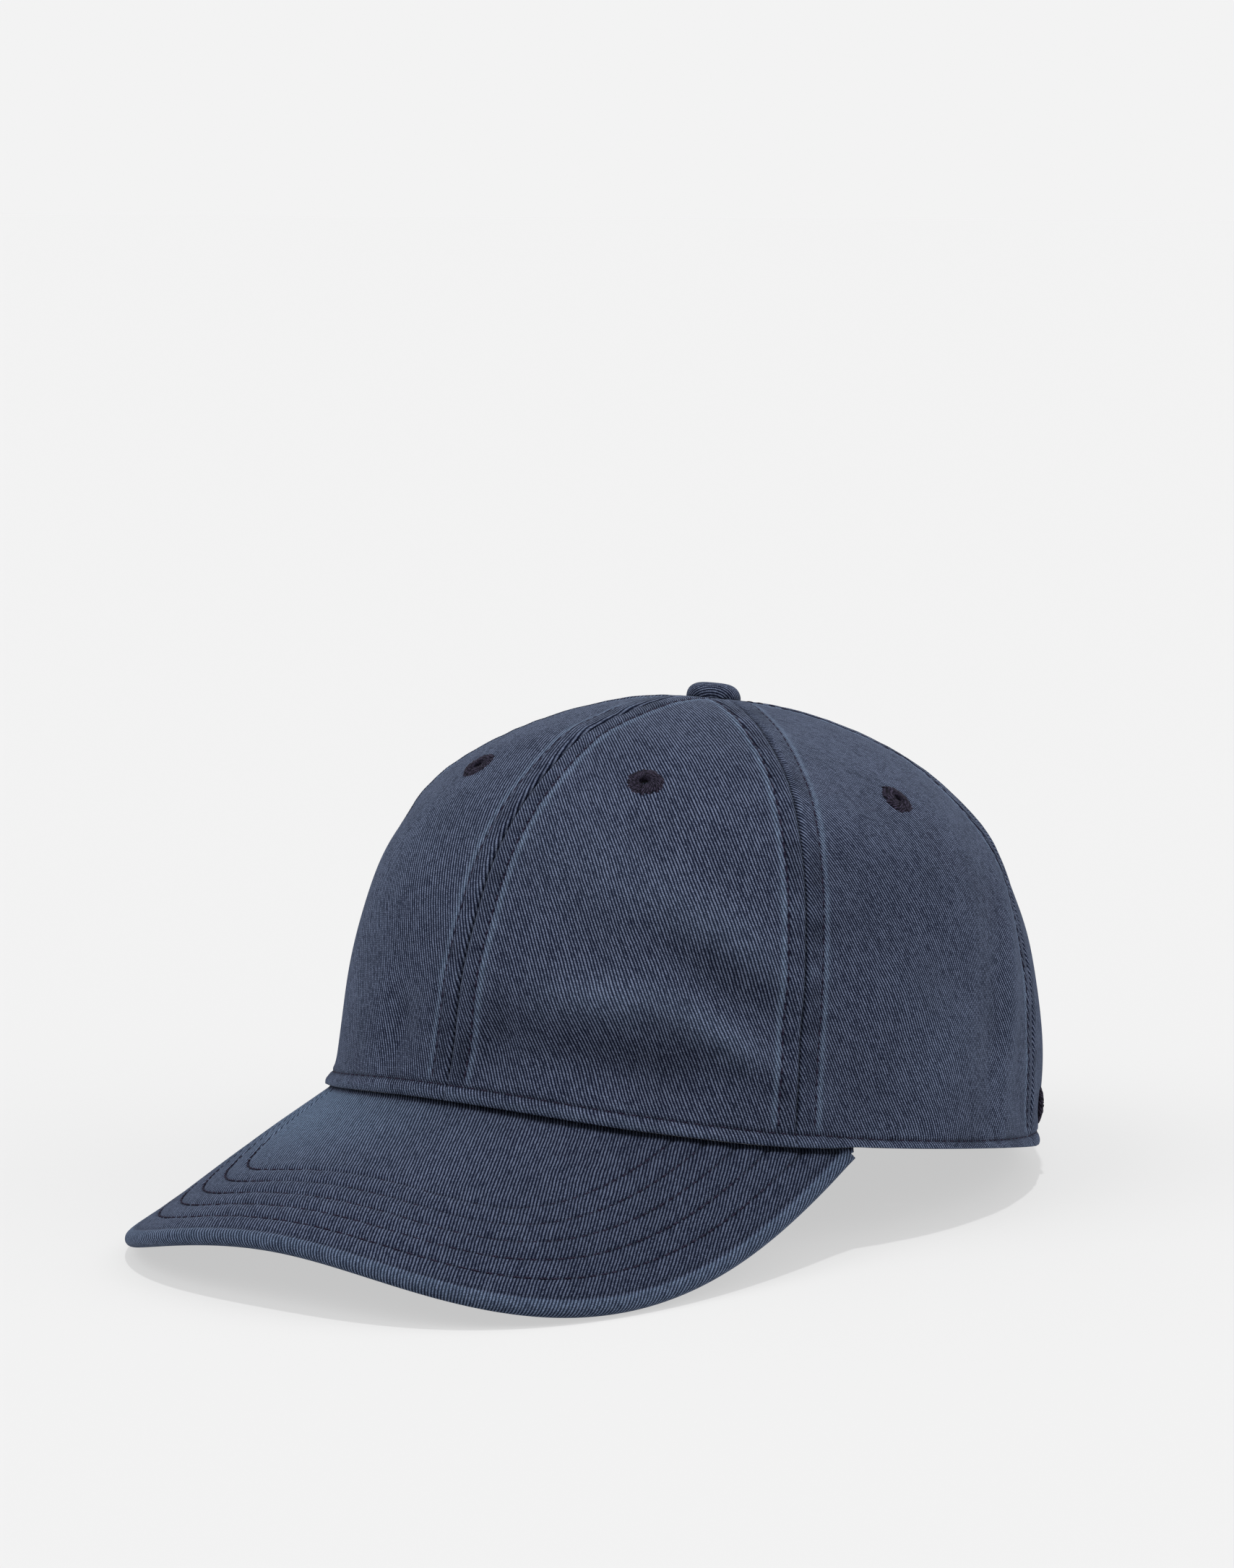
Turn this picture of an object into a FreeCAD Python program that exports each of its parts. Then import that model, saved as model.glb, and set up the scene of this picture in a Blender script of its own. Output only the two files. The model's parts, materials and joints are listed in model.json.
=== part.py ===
"""Baseball cap: six-panel soft crown, curved visor, covered button and buckled rear strap.

Every piece is first drawn with the rim of the crown level at z = 0, the visor towards -Y and the
wearer's left towards +X.  It is then tilted back to the way the cap stands on a table, on the two
side edges of the visor and on the rear rim.
"""
import FreeCAD, Part
import math
import os

V = FreeCAD.Vector

# ---- Driving dimensions, millimetres and degrees ----
RIM_HALF_LENGTH = 100.8         # head opening, front to back
RIM_HALF_WIDTH = 84.3           # head opening, side to side
RIM_END_RADIUS = 70.4           # front and rear arcs of the head opening
CROWN_HEIGHT = 104.5
APEX_Y = -5.0                   # all seams meet above this point
FRONT_SEAM = 53.1               # seam angles, from the front round to the back
REAR_SEAM = 119.5
FABRIC = 1.0                    # thickness of a panel

# Crown profile: exponents of a superellipse, and its bulge, at the front, side and rear
PROFILE_RADIAL = (1.86, 1.96, 2.17)
PROFILE_HEIGHT = (3.05, 3.42, 2.15)
PROFILE_BULGE = (-0.016, -0.05, 0.035)

# Visor: a flat pattern bent round a cylinder whose axis falls away to the front
VISOR_LENGTH = 67.5
VISOR_BEND_RADIUS = 116.7
VISOR_FALL = 25.55
VISOR_CORNER = 64.1             # where the visor's outline meets the rim
OUTLINE_ACROSS = 3.5            # exponents of the outline's superellipse
OUTLINE_FORWARD = 2.33
OUTLINE_FLARE = 0.076
VISOR_THICKNESS = 3.2
BOARD_THICKNESS = 1.8
BOARD_INSET = 1.6
VISOR_TUCK = 1.6                # how far the visor reaches in under the rim

VISOR_GAP = 0.8                 # the panels' lower edge stands this far above the visor
GAP_ENDS = (70, 90)             # angles over which that gap fades away at the sides

TAPE_HALF_WIDTH = 7.0
TAPE_THICKNESS = 0.6
TAPE_BOTTOM = 1.6               # the tapes' lower ends, up from the rim
LAYER_GAP = 0.05                # air between a panel and what is sewn to its inside
BAND_HEIGHT = 31.0
BAND_BOTTOM = 2.8
BAND_THICKNESS = 1.0
LINING_THICKNESS = 0.6
BAND_GAP = 0.12                 # air between the sweatband and its lining
BAND_NEAR = 0.2                 # air between the seam tapes and the lining, in front
BAND_POCKET = 6.4               # the lining's depth behind the crown's face, at the rear
POCKET_ENDS = (84, 112)         # angles over which the depth grows
LABEL_HALF_ANGLE = 12.0
LABEL_HEIGHTS = (8.0, 26.0)     # its lower and upper edges, up from the rim
LABEL_THICKNESS = 0.4

EYELET_LATITUDE = 43.3          # up the crown, 0 at the rim and 90 at the button
FRONT_EYELET = 21.3             # direction of each panel's vent eyelet, 0 at the front
SIDE_EYELET = 84.0
BACK_EYELET = 149.75
EYELET_RADIUS = 4.5
EYELET_HOLE = 1.1
EYELET_PROUD = 0.45             # how far the thread stands out of the fabric, on both sides
TUCK_IN_ANGLE = 131.0           # the small eyelet where the strap's end tucks in
TUCK_IN_HEIGHT = 11.0
APEX_HOLE = 2.0

BUTTON_RADIUS = 6.8
BUTTON_HEIGHT = 3.8
BUTTON_FLATNESS = 0.55          # 1 for a half ellipse, less for a flatter top
COVER_THICKNESS = 0.7
COVER_LIP = 4.9                 # radius of the opening under the cover
SHELL_RADIUS = 5.7
SHELL_HEIGHT = 2.25
SHELL_THICKNESS = 0.45
SHELL_LIP = 3.2
TACK_RADIUS = 1.5
TACK_TIP = 1.9                  # how far the tack reaches up into the shell
FLANGE_RADIUS = 6.0
FLANGE_THICKNESS = 0.9

ARCH_HALF_WIDTH = 36.0
ARCH_HEIGHT = 46.0
ARCH_EXPONENT = 2.6
FACING_WIDTH = 9.0

STRAP_HEIGHT = 18.0
STRAP_THICKNESS = 1.2
STRAP_DEPTH = 4.0               # its outer face, in from the circle of the rear wall
STRAP_MID = 12.5                # its centre line, up from the rim
STRAP_FIT_X = 66.0              # the strap's circle meets the wall at the rear and at this x
STRAP_TIGHTEN = 21.5            # travel about the strap's axis
STRAP_LOOSEN = 14.0
STRAP_HIDDEN = 4.0              # what stays behind the panels at the end of the travel

# Buckle, drawn with X along the strap, Y outwards from the strap's middle and Z up
BUCKLE_ANGLE = 13.5             # round from the rear centre towards the wearer's left
FRAME_X = (-8.4, 8.4)
FRAME_BACK = (-2.7, -1.7)       # the plate behind the strap
CHEEK_TIP_X = 12.0
CHEEK_FRONT_Y = 3.9
CHEEK_ROUNDING = 0.9
WALL_IN, WALL_OUT = 9.4, 10.7   # the cheeks' faces, up and down from the strap's middle
PIN_X, PIN_Y, PIN_RADIUS = -5.5, 2.5, 0.8
PIN_PLAY = 0.05
BAR_X, BAR_Y, BAR_RADIUS = 10.6, 2.3, 0.8
CAM_BARREL_RADIUS = 1.7
CAM_HALF_HEIGHT = 9.0
CAM_PLATE = (2.8, 3.8)
CAM_TIP_X = 8.3
CAM_LIP_Y = 4.9                 # the raised lip a finger lifts
LOOP_HALF_HEIGHT = 8.8
LOOP_PLAY = 0.1                 # between the loop and the bar it goes round
LOOP_WRAP = 1.6                 # outer radius of the loop round the bar
LOOP_TAIL = (1.0, 2.0)          # the tail's faces, out from the strap's middle
LOOP_TAIL_END = 9.0             # how far the tail goes on behind the panel, in degrees
EDGE_SOFTNESS = 0.35
CAM_SOFTNESS = 0.3

REST_TILT = 9.31                # puts the visor's edges and the rear corners on one plane

PIECES = {}


def sin(degrees):
    return math.sin(math.radians(degrees))


def cos(degrees):
    return math.cos(math.radians(degrees))


def steps(start, stop, count):
    """Evenly spaced values from start to stop, both included."""
    return [start + (stop - start) * i / (count - 1) for i in range(count)]


def smooth(x, low, high):
    """0 below low, 1 above high, and a smooth rise between."""
    t = min(1.0, max(0.0, (x - low) / (high - low)))
    return t * t * (3 - 2 * t)


# ---- Head opening: an oval of four arcs, seen from the point below the button ----
END_CENTRE = RIM_HALF_LENGTH - RIM_END_RADIUS
SIDE_RADIUS = ((RIM_HALF_WIDTH ** 2 + END_CENTRE ** 2 - RIM_END_RADIUS ** 2)
               / (2 * (RIM_HALF_WIDTH - RIM_END_RADIUS)))
SIDE_CENTRE = SIDE_RADIUS - RIM_HALF_WIDTH
END_ARC_ANGLE = math.degrees(math.atan2(SIDE_CENTRE, END_CENTRE))


def distance_to_circle(theta, x, y, radius):
    dx, dy = sin(theta), -cos(theta)
    along = dx * x + dy * (y - APEX_Y)
    return along + math.sqrt(along ** 2 - x ** 2 - (y - APEX_Y) ** 2 + radius ** 2)


def rim_radius(theta):
    for end in (-1, 1):
        reach = distance_to_circle(theta, 0, end * END_CENTRE, RIM_END_RADIUS)
        x = reach * sin(theta)
        y = APEX_Y - reach * cos(theta)
        if math.degrees(math.atan2(abs(x), end * y - END_CENTRE)) <= END_ARC_ANGLE:
            return reach
    side = 1 if sin(theta) >= 0 else -1
    return distance_to_circle(theta, -side * SIDE_CENTRE, 0, SIDE_RADIUS)


def rim_plan(theta, depth=0):
    reach = rim_radius(theta) - depth
    return reach * sin(theta), APEX_Y - reach * cos(theta)


# ---- Visor surface ----
def bent(across, forward, depth=0):
    """A point of the visor's flat pattern on the bent visor, depth below its top face."""
    turn = math.degrees(across / VISOR_BEND_RADIUS)
    radius = VISOR_BEND_RADIUS - depth
    rise = radius * cos(turn) - VISOR_BEND_RADIUS
    y = -RIM_HALF_LENGTH - forward * cos(VISOR_FALL) - rise * sin(VISOR_FALL)
    z = VISOR_BASE - forward * sin(VISOR_FALL) + rise * cos(VISOR_FALL)
    return V(radius * sin(turn), y, z)


def unbent(x, y):
    """The flat pattern's point below which the visor's top face has this plan position."""
    across = VISOR_BEND_RADIUS * math.asin(x / VISOR_BEND_RADIUS)
    drop = VISOR_BEND_RADIUS * (1 - math.cos(across / VISOR_BEND_RADIUS))
    return across, (-RIM_HALF_LENGTH - y + drop * sin(VISOR_FALL)) / cos(VISOR_FALL)


CORNER_X, CORNER_Y = rim_plan(VISOR_CORNER)
CORNER_DROP = VISOR_BEND_RADIUS - math.sqrt(VISOR_BEND_RADIUS ** 2 - CORNER_X ** 2)
VISOR_BASE = (CORNER_DROP / cos(VISOR_FALL)
              - math.tan(math.radians(VISOR_FALL)) * (RIM_HALF_LENGTH + CORNER_Y))
CORNER_ACROSS, CORNER_FORWARD = unbent(CORNER_X, CORNER_Y)


def rim_height(theta):
    """Height of the crown's lower edge: it follows the visor in front and is level behind."""
    turn = abs((theta + 180) % 360 - 180)
    blend = 4.0
    if turn > VISOR_CORNER + blend:
        return 0.0
    top = bent(*unbent(*rim_plan(theta))).z
    return top * (1 - smooth(turn, VISOR_CORNER - blend, VISOR_CORNER + blend))


# ---- Crown surface ----
def by_direction(theta, values):
    """Blend of a front, side and rear value."""
    front, side, rear = values
    end = front if cos(theta) > 0 else rear
    return side + (end - side) * cos(theta) ** 2


def meridian(theta, latitude):
    """Radius from the button's axis, and height, of the crown's outer face."""
    up = max(0.0, sin(latitude)) ** (2 / by_direction(theta, PROFILE_HEIGHT))
    across = max(0.0, cos(latitude)) ** (2 / by_direction(theta, PROFILE_RADIAL))
    across *= 1 + 1.5 * by_direction(theta, PROFILE_BULGE) * math.sin(math.pi * up) * (1 - up)
    low = rim_height(theta)
    return rim_radius(theta) * across, low + (CROWN_HEIGHT - low) * up


def wall(theta, latitude, depth=0):
    """A point of the crown, depth inwards from its outer face, in the plane of its meridian."""
    step = 0.05
    latitude = min(90 - 2 * step, max(2 * step, latitude)) if depth else latitude
    radius, height = meridian(theta, latitude)
    if depth:
        r0, z0 = meridian(theta, latitude - step)
        r1, z1 = meridian(theta, latitude + step)
        length = math.hypot(r1 - r0, z1 - z0)
        radius -= depth * (z1 - z0) / length
        height += depth * (r1 - r0) / length
    return V(radius * sin(theta), APEX_Y - radius * cos(theta), height)


def latitude_at_height(theta, above_rim):
    share = above_rim / (CROWN_HEIGHT - rim_height(theta))
    return math.degrees(math.asin(share ** (by_direction(theta, PROFILE_HEIGHT) / 2)))


def latitude_at_radius(theta, radius):
    low, high = 45.0, 90.0
    for _ in range(40):
        middle = (low + high) / 2
        if meridian(theta, middle)[0] > radius:
            low = middle
        else:
            high = middle
    return low


# ---- Solids ----
def sheet_solid(outer, inner):
    """A solid between two grids of points, closed round its four sides."""
    surfaces = []
    for grid in (outer, inner):
        surface = Part.BSplineSurface()
        surface.interpolate(grid)
        surfaces.append(surface)
    borders = []
    for surface in surfaces:
        u0, u1, v0, v1 = surface.bounds()
        borders.append([surface.uIso(u0), surface.uIso(u1), surface.vIso(v0), surface.vIso(v1)])
    faces = [surface.toShape() for surface in surfaces]
    for one, other in zip(*borders):
        faces.append(Part.makeRuledSurface(one.toShape(), other.toShape()))
    shell = Part.makeShell(faces)
    shell.sewShape(0.001)
    solid = Part.makeSolid(shell.Shells[0] if shell.Shells else shell)
    if solid.Volume < 0:
        solid.reverse()
    return solid


def add(name, shape):
    """Keep a piece under its name. It has to be one sound solid."""
    if shape.ShapeType != "Solid":
        shape = shape.Solids[0]
    if not shape.isValid():
        print("NOT VALID", name)
    PIECES[name] = shape


def axis_at(theta, latitude):
    """A point on the outer face and the direction into the crown there."""
    step = 0.5
    here = wall(theta, latitude)
    round_ = wall(theta + step, latitude) - wall(theta - step, latitude)
    up = wall(theta, latitude + step) - wall(theta, latitude - step)
    inward = up.cross(round_)
    inward.normalize()
    if inward.z > 0:
        inward = inward * -1
    return here, inward


# ---- Crown panels ----
def panel_blank(start, stop):
    outer, inner = [], []
    for theta in steps(start, stop, 17):
        low = latitude_at_height(theta, VISOR_GAP * (1 - smooth(abs(theta), *GAP_ENDS)))
        high = latitude_at_radius(theta, APEX_HOLE)
        latitudes = [low + (high - low) * t ** 1.3 for t in steps(0, 1, 19)]
        outer.append([wall(theta, latitude) for latitude in latitudes])
        inner.append([wall(theta, latitude, FABRIC) for latitude in latitudes])
    return sheet_solid(outer, inner)


def arch_prism(margin):
    """The rear opening's outline, margin larger all round, as a block through the rear wall."""
    half_width = ARCH_HALF_WIDTH + margin
    height = ARCH_HEIGHT + margin
    front_y, below = 40, -10
    points = []
    for t in steps(-90, 90, 25):
        x = half_width * math.copysign(abs(sin(t)) ** (2 / ARCH_EXPONENT), t)
        points.append(V(x, front_y, height * abs(cos(t)) ** (2 / ARCH_EXPONENT)))
    curve = Part.BSplineCurve()
    curve.interpolate(points)
    corners = [points[-1], V(half_width, front_y, below), V(-half_width, front_y, below), points[0]]
    edges = [curve.toShape()] + [Part.makeLine(a, b) for a, b in zip(corners, corners[1:])]
    return Part.Face(Part.Wire(edges)).extrude(V(0, RIM_HALF_LENGTH, 0))


def eyelet_hole(here, inward):
    """A cylinder through the fabric, as wide as the part of an eyelet that has no fabric."""
    reach = 4
    return Part.makeCylinder(EYELET_HOLE * 2, 2 * reach, here - inward * reach, inward)


def build_panels():
    spans = {"front_panel": (0, FRONT_EYELET, FRONT_SEAM),
             "side_panel": (FRONT_SEAM, SIDE_EYELET, REAR_SEAM),
             "back_panel": (REAR_SEAM, BACK_EYELET, 180)}
    for name, (start, vent, stop) in spans.items():
        for side, sign in (("left", 1), ("right", -1)):
            first, last = sorted((sign * start, sign * stop))
            blank = panel_blank(first, last)
            vent_axis = axis_at(sign * vent, EYELET_LATITUDE)
            if name == "back_panel":
                blank = blank.cut(arch_prism(0))
            if name == "back_panel" and side == "left":
                blank = blank.cut(eyelet_hole(*axis_at(TUCK_IN_ANGLE, TUCK_IN_LATITUDE)))
            panel = blank.cut(eyelet_hole(*vent_axis))
            add(name + "_" + side, panel)
            eyelet = eyelet_ring(*vent_axis)
            add("vent_eyelet_" + name.split("_")[0] + "_" + side, eyelet.cut(panel))
    tuck_in = eyelet_ring(*axis_at(TUCK_IN_ANGLE, TUCK_IN_LATITUDE))
    add("tuck_in_eyelet", tuck_in.cut(PIECES["back_panel_left"]))


def eyelet_ring(here, inward):
    """A thread ring that stands a little proud of the fabric on both sides."""
    start = here - inward * EYELET_PROUD
    length = FABRIC + 2 * EYELET_PROUD
    ring = Part.makeCylinder(EYELET_RADIUS, length, start, inward)
    return ring.cut(Part.makeCylinder(EYELET_HOLE, length + 2, start - inward, inward))


TUCK_IN_LATITUDE = latitude_at_height(TUCK_IN_ANGLE, TUCK_IN_HEIGHT)


# ---- Seam tapes, mitred where the six of them meet under the button ----
def seam_tape(theta, half_gap, bottom):
    meet_radius = APEX_HOLE + 1.0
    depths = (FABRIC + LAYER_GAP, FABRIC + TAPE_THICKNESS)
    grids = [[], []]
    low = latitude_at_height(theta, bottom)
    high = latitude_at_radius(theta, meet_radius)
    for t in steps(0, 1, 23):
        latitude = low + (high - low) * t ** 1.2
        radius = meridian(theta, latitude)[0]
        half = min(math.degrees(TAPE_HALF_WIDTH / radius), half_gap - 0.6)
        for grid, depth in zip(grids, depths):
            grid.append([wall(theta + half * side, latitude, depth) for side in steps(-1, 1, 5)])
    return sheet_solid(*grids)


def build_tapes():
    front_gap = FRONT_SEAM / 2
    side_gap = (REAR_SEAM - FRONT_SEAM) / 2
    rear_gap = (180 - REAR_SEAM) / 2
    add("seam_tape_front_centre", seam_tape(0, front_gap, TAPE_BOTTOM))
    add("seam_tape_rear_centre", seam_tape(180, rear_gap, ARCH_HEIGHT + FACING_WIDTH + 1))
    for side, sign in (("left", 1), ("right", -1)):
        add("seam_tape_front_" + side, seam_tape(sign * FRONT_SEAM, front_gap, TAPE_BOTTOM))
        rear = seam_tape(sign * REAR_SEAM, min(side_gap, rear_gap), TAPE_BOTTOM)
        add("seam_tape_rear_" + side, rear)


# ---- Sweatband and its lining: closer to the wall in front, leaving a pocket for the strap ----
def band_depth(theta):
    near = FABRIC + TAPE_THICKNESS + BAND_NEAR
    return near + (BAND_POCKET - near) * smooth(abs(theta), *POCKET_ENDS)


def band_solid(offset, thickness, height):
    end = 180 - math.degrees(math.atan2(ARCH_HALF_WIDTH + 0.5, RIM_HALF_LENGTH - 12 - APEX_Y))
    outer, inner = [], []
    for theta in steps(-end, end, 57):
        latitudes = [latitude_at_height(theta, h) for h in steps(BAND_BOTTOM, height, 7)]
        depth = band_depth(theta) + offset
        outer.append([wall(theta, latitude, depth) for latitude in latitudes])
        inner.append([wall(theta, latitude, depth + thickness) for latitude in latitudes])
    return sheet_solid(outer, inner)


def build_bands():
    lining_height = BAND_HEIGHT - 2
    band_offset = LINING_THICKNESS + BAND_GAP
    add("sweatband_lining", band_solid(0, LINING_THICKNESS, lining_height))
    add("sweatband", band_solid(band_offset, BAND_THICKNESS, BAND_HEIGHT))
    label_depth = band_depth(0) + band_offset + BAND_THICKNESS + LAYER_GAP
    outer, inner = [], []
    for theta in steps(-LABEL_HALF_ANGLE, LABEL_HALF_ANGLE, 7):
        latitudes = [latitude_at_height(theta, h) for h in steps(*LABEL_HEIGHTS, 5)]
        outer.append([wall(theta, latitude, label_depth) for latitude in latitudes])
        inner.append([wall(theta, latitude, label_depth + LABEL_THICKNESS) for latitude in latitudes])
    add("inner_label", sheet_solid(outer, inner))


# ---- Visor ----
def outline(turn, inset):
    """The visor's outer outline in its flat pattern, turn from -90 to 90 degrees, moved inwards."""
    def point(angle):
        s, c = abs(sin(angle)), abs(cos(angle))
        flare = 1 + OUTLINE_FLARE * abs(sin(2 * angle))
        across = CORNER_ACROSS * s ** (2 / OUTLINE_ACROSS) * flare
        forward = (VISOR_LENGTH - CORNER_FORWARD) * c ** (2 / OUTLINE_FORWARD)
        return math.copysign(across, angle), CORNER_FORWARD + forward

    x, y = point(turn)
    if not inset:
        return x, y
    if abs(turn) < 1e-6:
        return 0, y - inset
    step = 0.02
    near = math.copysign(max(abs(turn) - step, step / 2), turn)
    far = math.copysign(min(abs(turn) + step, 90), turn)
    x0, y0 = point(near)
    x1, y1 = point(far)
    length = math.hypot(x1 - x0, y1 - y0)
    side = math.copysign(1, turn)
    return x + side * (y1 - y0) / length * inset, y - side * (x1 - x0) / length * inset


def visor_solid(top, bottom, inset):
    grids = [[], []]
    end = 0.97 if inset else 1.0
    for w in steps(-end, end, 41):
        x, y = rim_plan(w * VISOR_CORNER, VISOR_TUCK - inset)
        near = unbent(x, y)
        far = outline(90 * math.copysign(abs(w) ** 1.6, w), inset)
        for grid, depth in zip(grids, (top, bottom)):
            row = []
            for v in steps(0, 1, 9):
                across = near[0] + (far[0] - near[0]) * v
                forward = near[1] + (far[1] - near[1]) * v
                row.append(bent(across, forward, depth))
            grid.append(row)
    return sheet_solid(*grids)


def build_visor():
    skin = (VISOR_THICKNESS - BOARD_THICKNESS) / 2
    board = visor_solid(skin, VISOR_THICKNESS - skin, BOARD_INSET)
    add("visor_board", board)
    middle = VISOR_THICKNESS / 2
    add("visor_top_cover", visor_solid(0, middle, 0).cut(board))
    add("visor_under_cover", visor_solid(middle, VISOR_THICKNESS, 0).cut(board))


# ---- Button ----
def revolved(points):
    """A closed profile of (radius, height) points turned round the button's axis."""
    corners = [V(r, APEX_Y, z) for r, z in points]
    profile = Part.Face(Part.makePolygon(corners + corners[:1]))
    return profile.revolve(V(0, APEX_Y, 0), V(0, 0, 1), 360)


def dome(radius, height, base, thickness, lip):
    """A hollow dome with an inturned lip round its foot."""
    def arc(wide, tall, angles):
        return [(wide * abs(cos(a)) ** BUTTON_FLATNESS, base + tall * sin(a)) for a in angles]

    outer = arc(radius, height, steps(0, 90, 13))
    outer[-1] = (0, base + height)
    inner = arc(radius - thickness, height - thickness, steps(90, 12, 11))
    inner[0] = (0, base + height - thickness)
    foot = [(inner[-1][0], base + thickness), (lip, base + thickness), (lip, base)]
    return revolved(outer + inner + foot)


def build_button():
    base = CROWN_HEIGHT + 0.1
    shell_base = base + COVER_THICKNESS + LAYER_GAP
    add("button_cover", dome(BUTTON_RADIUS, BUTTON_HEIGHT, base, COVER_THICKNESS, COVER_LIP))
    add("button_shell", dome(SHELL_RADIUS, SHELL_HEIGHT, shell_base, SHELL_THICKNESS, SHELL_LIP))
    flange_top = CROWN_HEIGHT - FABRIC - TAPE_THICKNESS - 0.3
    bottom = flange_top - FLANGE_THICKNESS
    tip = base + TACK_TIP
    profile = [(0, bottom), (FLANGE_RADIUS, bottom), (FLANGE_RADIUS, flange_top),
               (TACK_RADIUS, flange_top), (TACK_RADIUS, tip), (0, tip)]
    add("button_tack", revolved(profile))


# ---- Rear strap, on a circle that fits the rear wall ----
def wall_y(x):
    """Plan position of the rear rim at this x."""
    low, high = 90.0, 180.0
    for _ in range(40):
        middle = (low + high) / 2
        if rim_plan(middle)[0] > x:
            low = middle
        else:
            high = middle
    return rim_plan(low)[1]


FIT_DROP = RIM_HALF_LENGTH - wall_y(STRAP_FIT_X)
WALL_CIRCLE = (STRAP_FIT_X ** 2 + FIT_DROP ** 2) / (2 * FIT_DROP)
STRAP_AXIS_Y = RIM_HALF_LENGTH - WALL_CIRCLE
STRAP_OUTER = WALL_CIRCLE - STRAP_DEPTH
STRAP_RADIUS = STRAP_OUTER - STRAP_THICKNESS / 2
ARCH_EDGE_ANGLE = math.degrees(math.asin(ARCH_HALF_WIDTH / WALL_CIRCLE))


def ring_sector(outer, thickness, low, high, start, stop):
    """Part of a ring round the strap's axis; angles run from the rear centre towards +X."""
    def corner(radius, z):
        return V(radius * sin(start), STRAP_AXIS_Y + radius * cos(start), z)

    radii = (outer, outer - thickness)
    corners = [corner(radii[0], low), corner(radii[0], high), corner(radii[1], high),
               corner(radii[1], low)]
    face = Part.Face(Part.makePolygon(corners + corners[:1]))
    return face.revolve(V(0, STRAP_AXIS_Y, 0), V(0, 0, -1), stop - start)


def build_strap():
    half = STRAP_HEIGHT / 2
    right = ARCH_EDGE_ANGLE + STRAP_TIGHTEN + STRAP_HIDDEN
    left = ARCH_EDGE_ANGLE + STRAP_LOOSEN + STRAP_HIDDEN
    add("strap", ring_sector(STRAP_OUTER, STRAP_THICKNESS, STRAP_MID - half, STRAP_MID + half,
                             -right, left))


def build_facing():
    rows = [[], []]
    for theta in steps(180 - 42, 180 + 42, 17):
        latitudes = [latitude_at_height(theta, h) for h in steps(0.6, 62, 9)]
        for grid, depth in zip(rows, (FABRIC + LAYER_GAP, FABRIC + TAPE_THICKNESS)):
            grid.append([wall(theta, latitude, depth) for latitude in latitudes])
    blank = sheet_solid(*rows)
    add("rear_arch_facing", blank.common(arch_prism(FACING_WIDTH)).cut(arch_prism(0)))


# ---- Buckle ----
BUCKLE_PLACE = FreeCAD.Placement(
    V(STRAP_RADIUS * sin(BUCKLE_ANGLE), STRAP_AXIS_Y + STRAP_RADIUS * cos(BUCKLE_ANGLE), STRAP_MID),
    FreeCAD.Rotation(V(0, 0, 1), -BUCKLE_ANGLE))


def block(x0, x1, y0, y1, z0, z1, rounded=0):
    shape = Part.makeBox(x1 - x0, y1 - y0, z1 - z0, V(x0, y0, z0))
    if rounded:
        upright = [e for e in shape.Edges if abs(e.Vertexes[0].Z - e.Vertexes[1].Z) > 1e-6]
        shape = shape.makeFillet(rounded, upright)
    return shape


def rod(x, y, radius, half_length):
    return Part.makeCylinder(radius, 2 * half_length, V(x, y, -half_length), V(0, 0, 1))


def softened(shape, radius):
    """The shape with its straight outward edges rounded."""
    edges = []
    for edge in shape.Edges:
        middle = edge.valueAt((edge.FirstParameter + edge.LastParameter) / 2)
        ball = Part.makeSphere(radius / 2, middle)
        filled = ball.common(shape).Volume / ball.Volume
        if edge.Curve.TypeId == "Part::GeomLine" and 0.15 < filled < 0.35:
            edges.append(edge)
    return shape.makeFillet(radius, edges)


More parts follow.
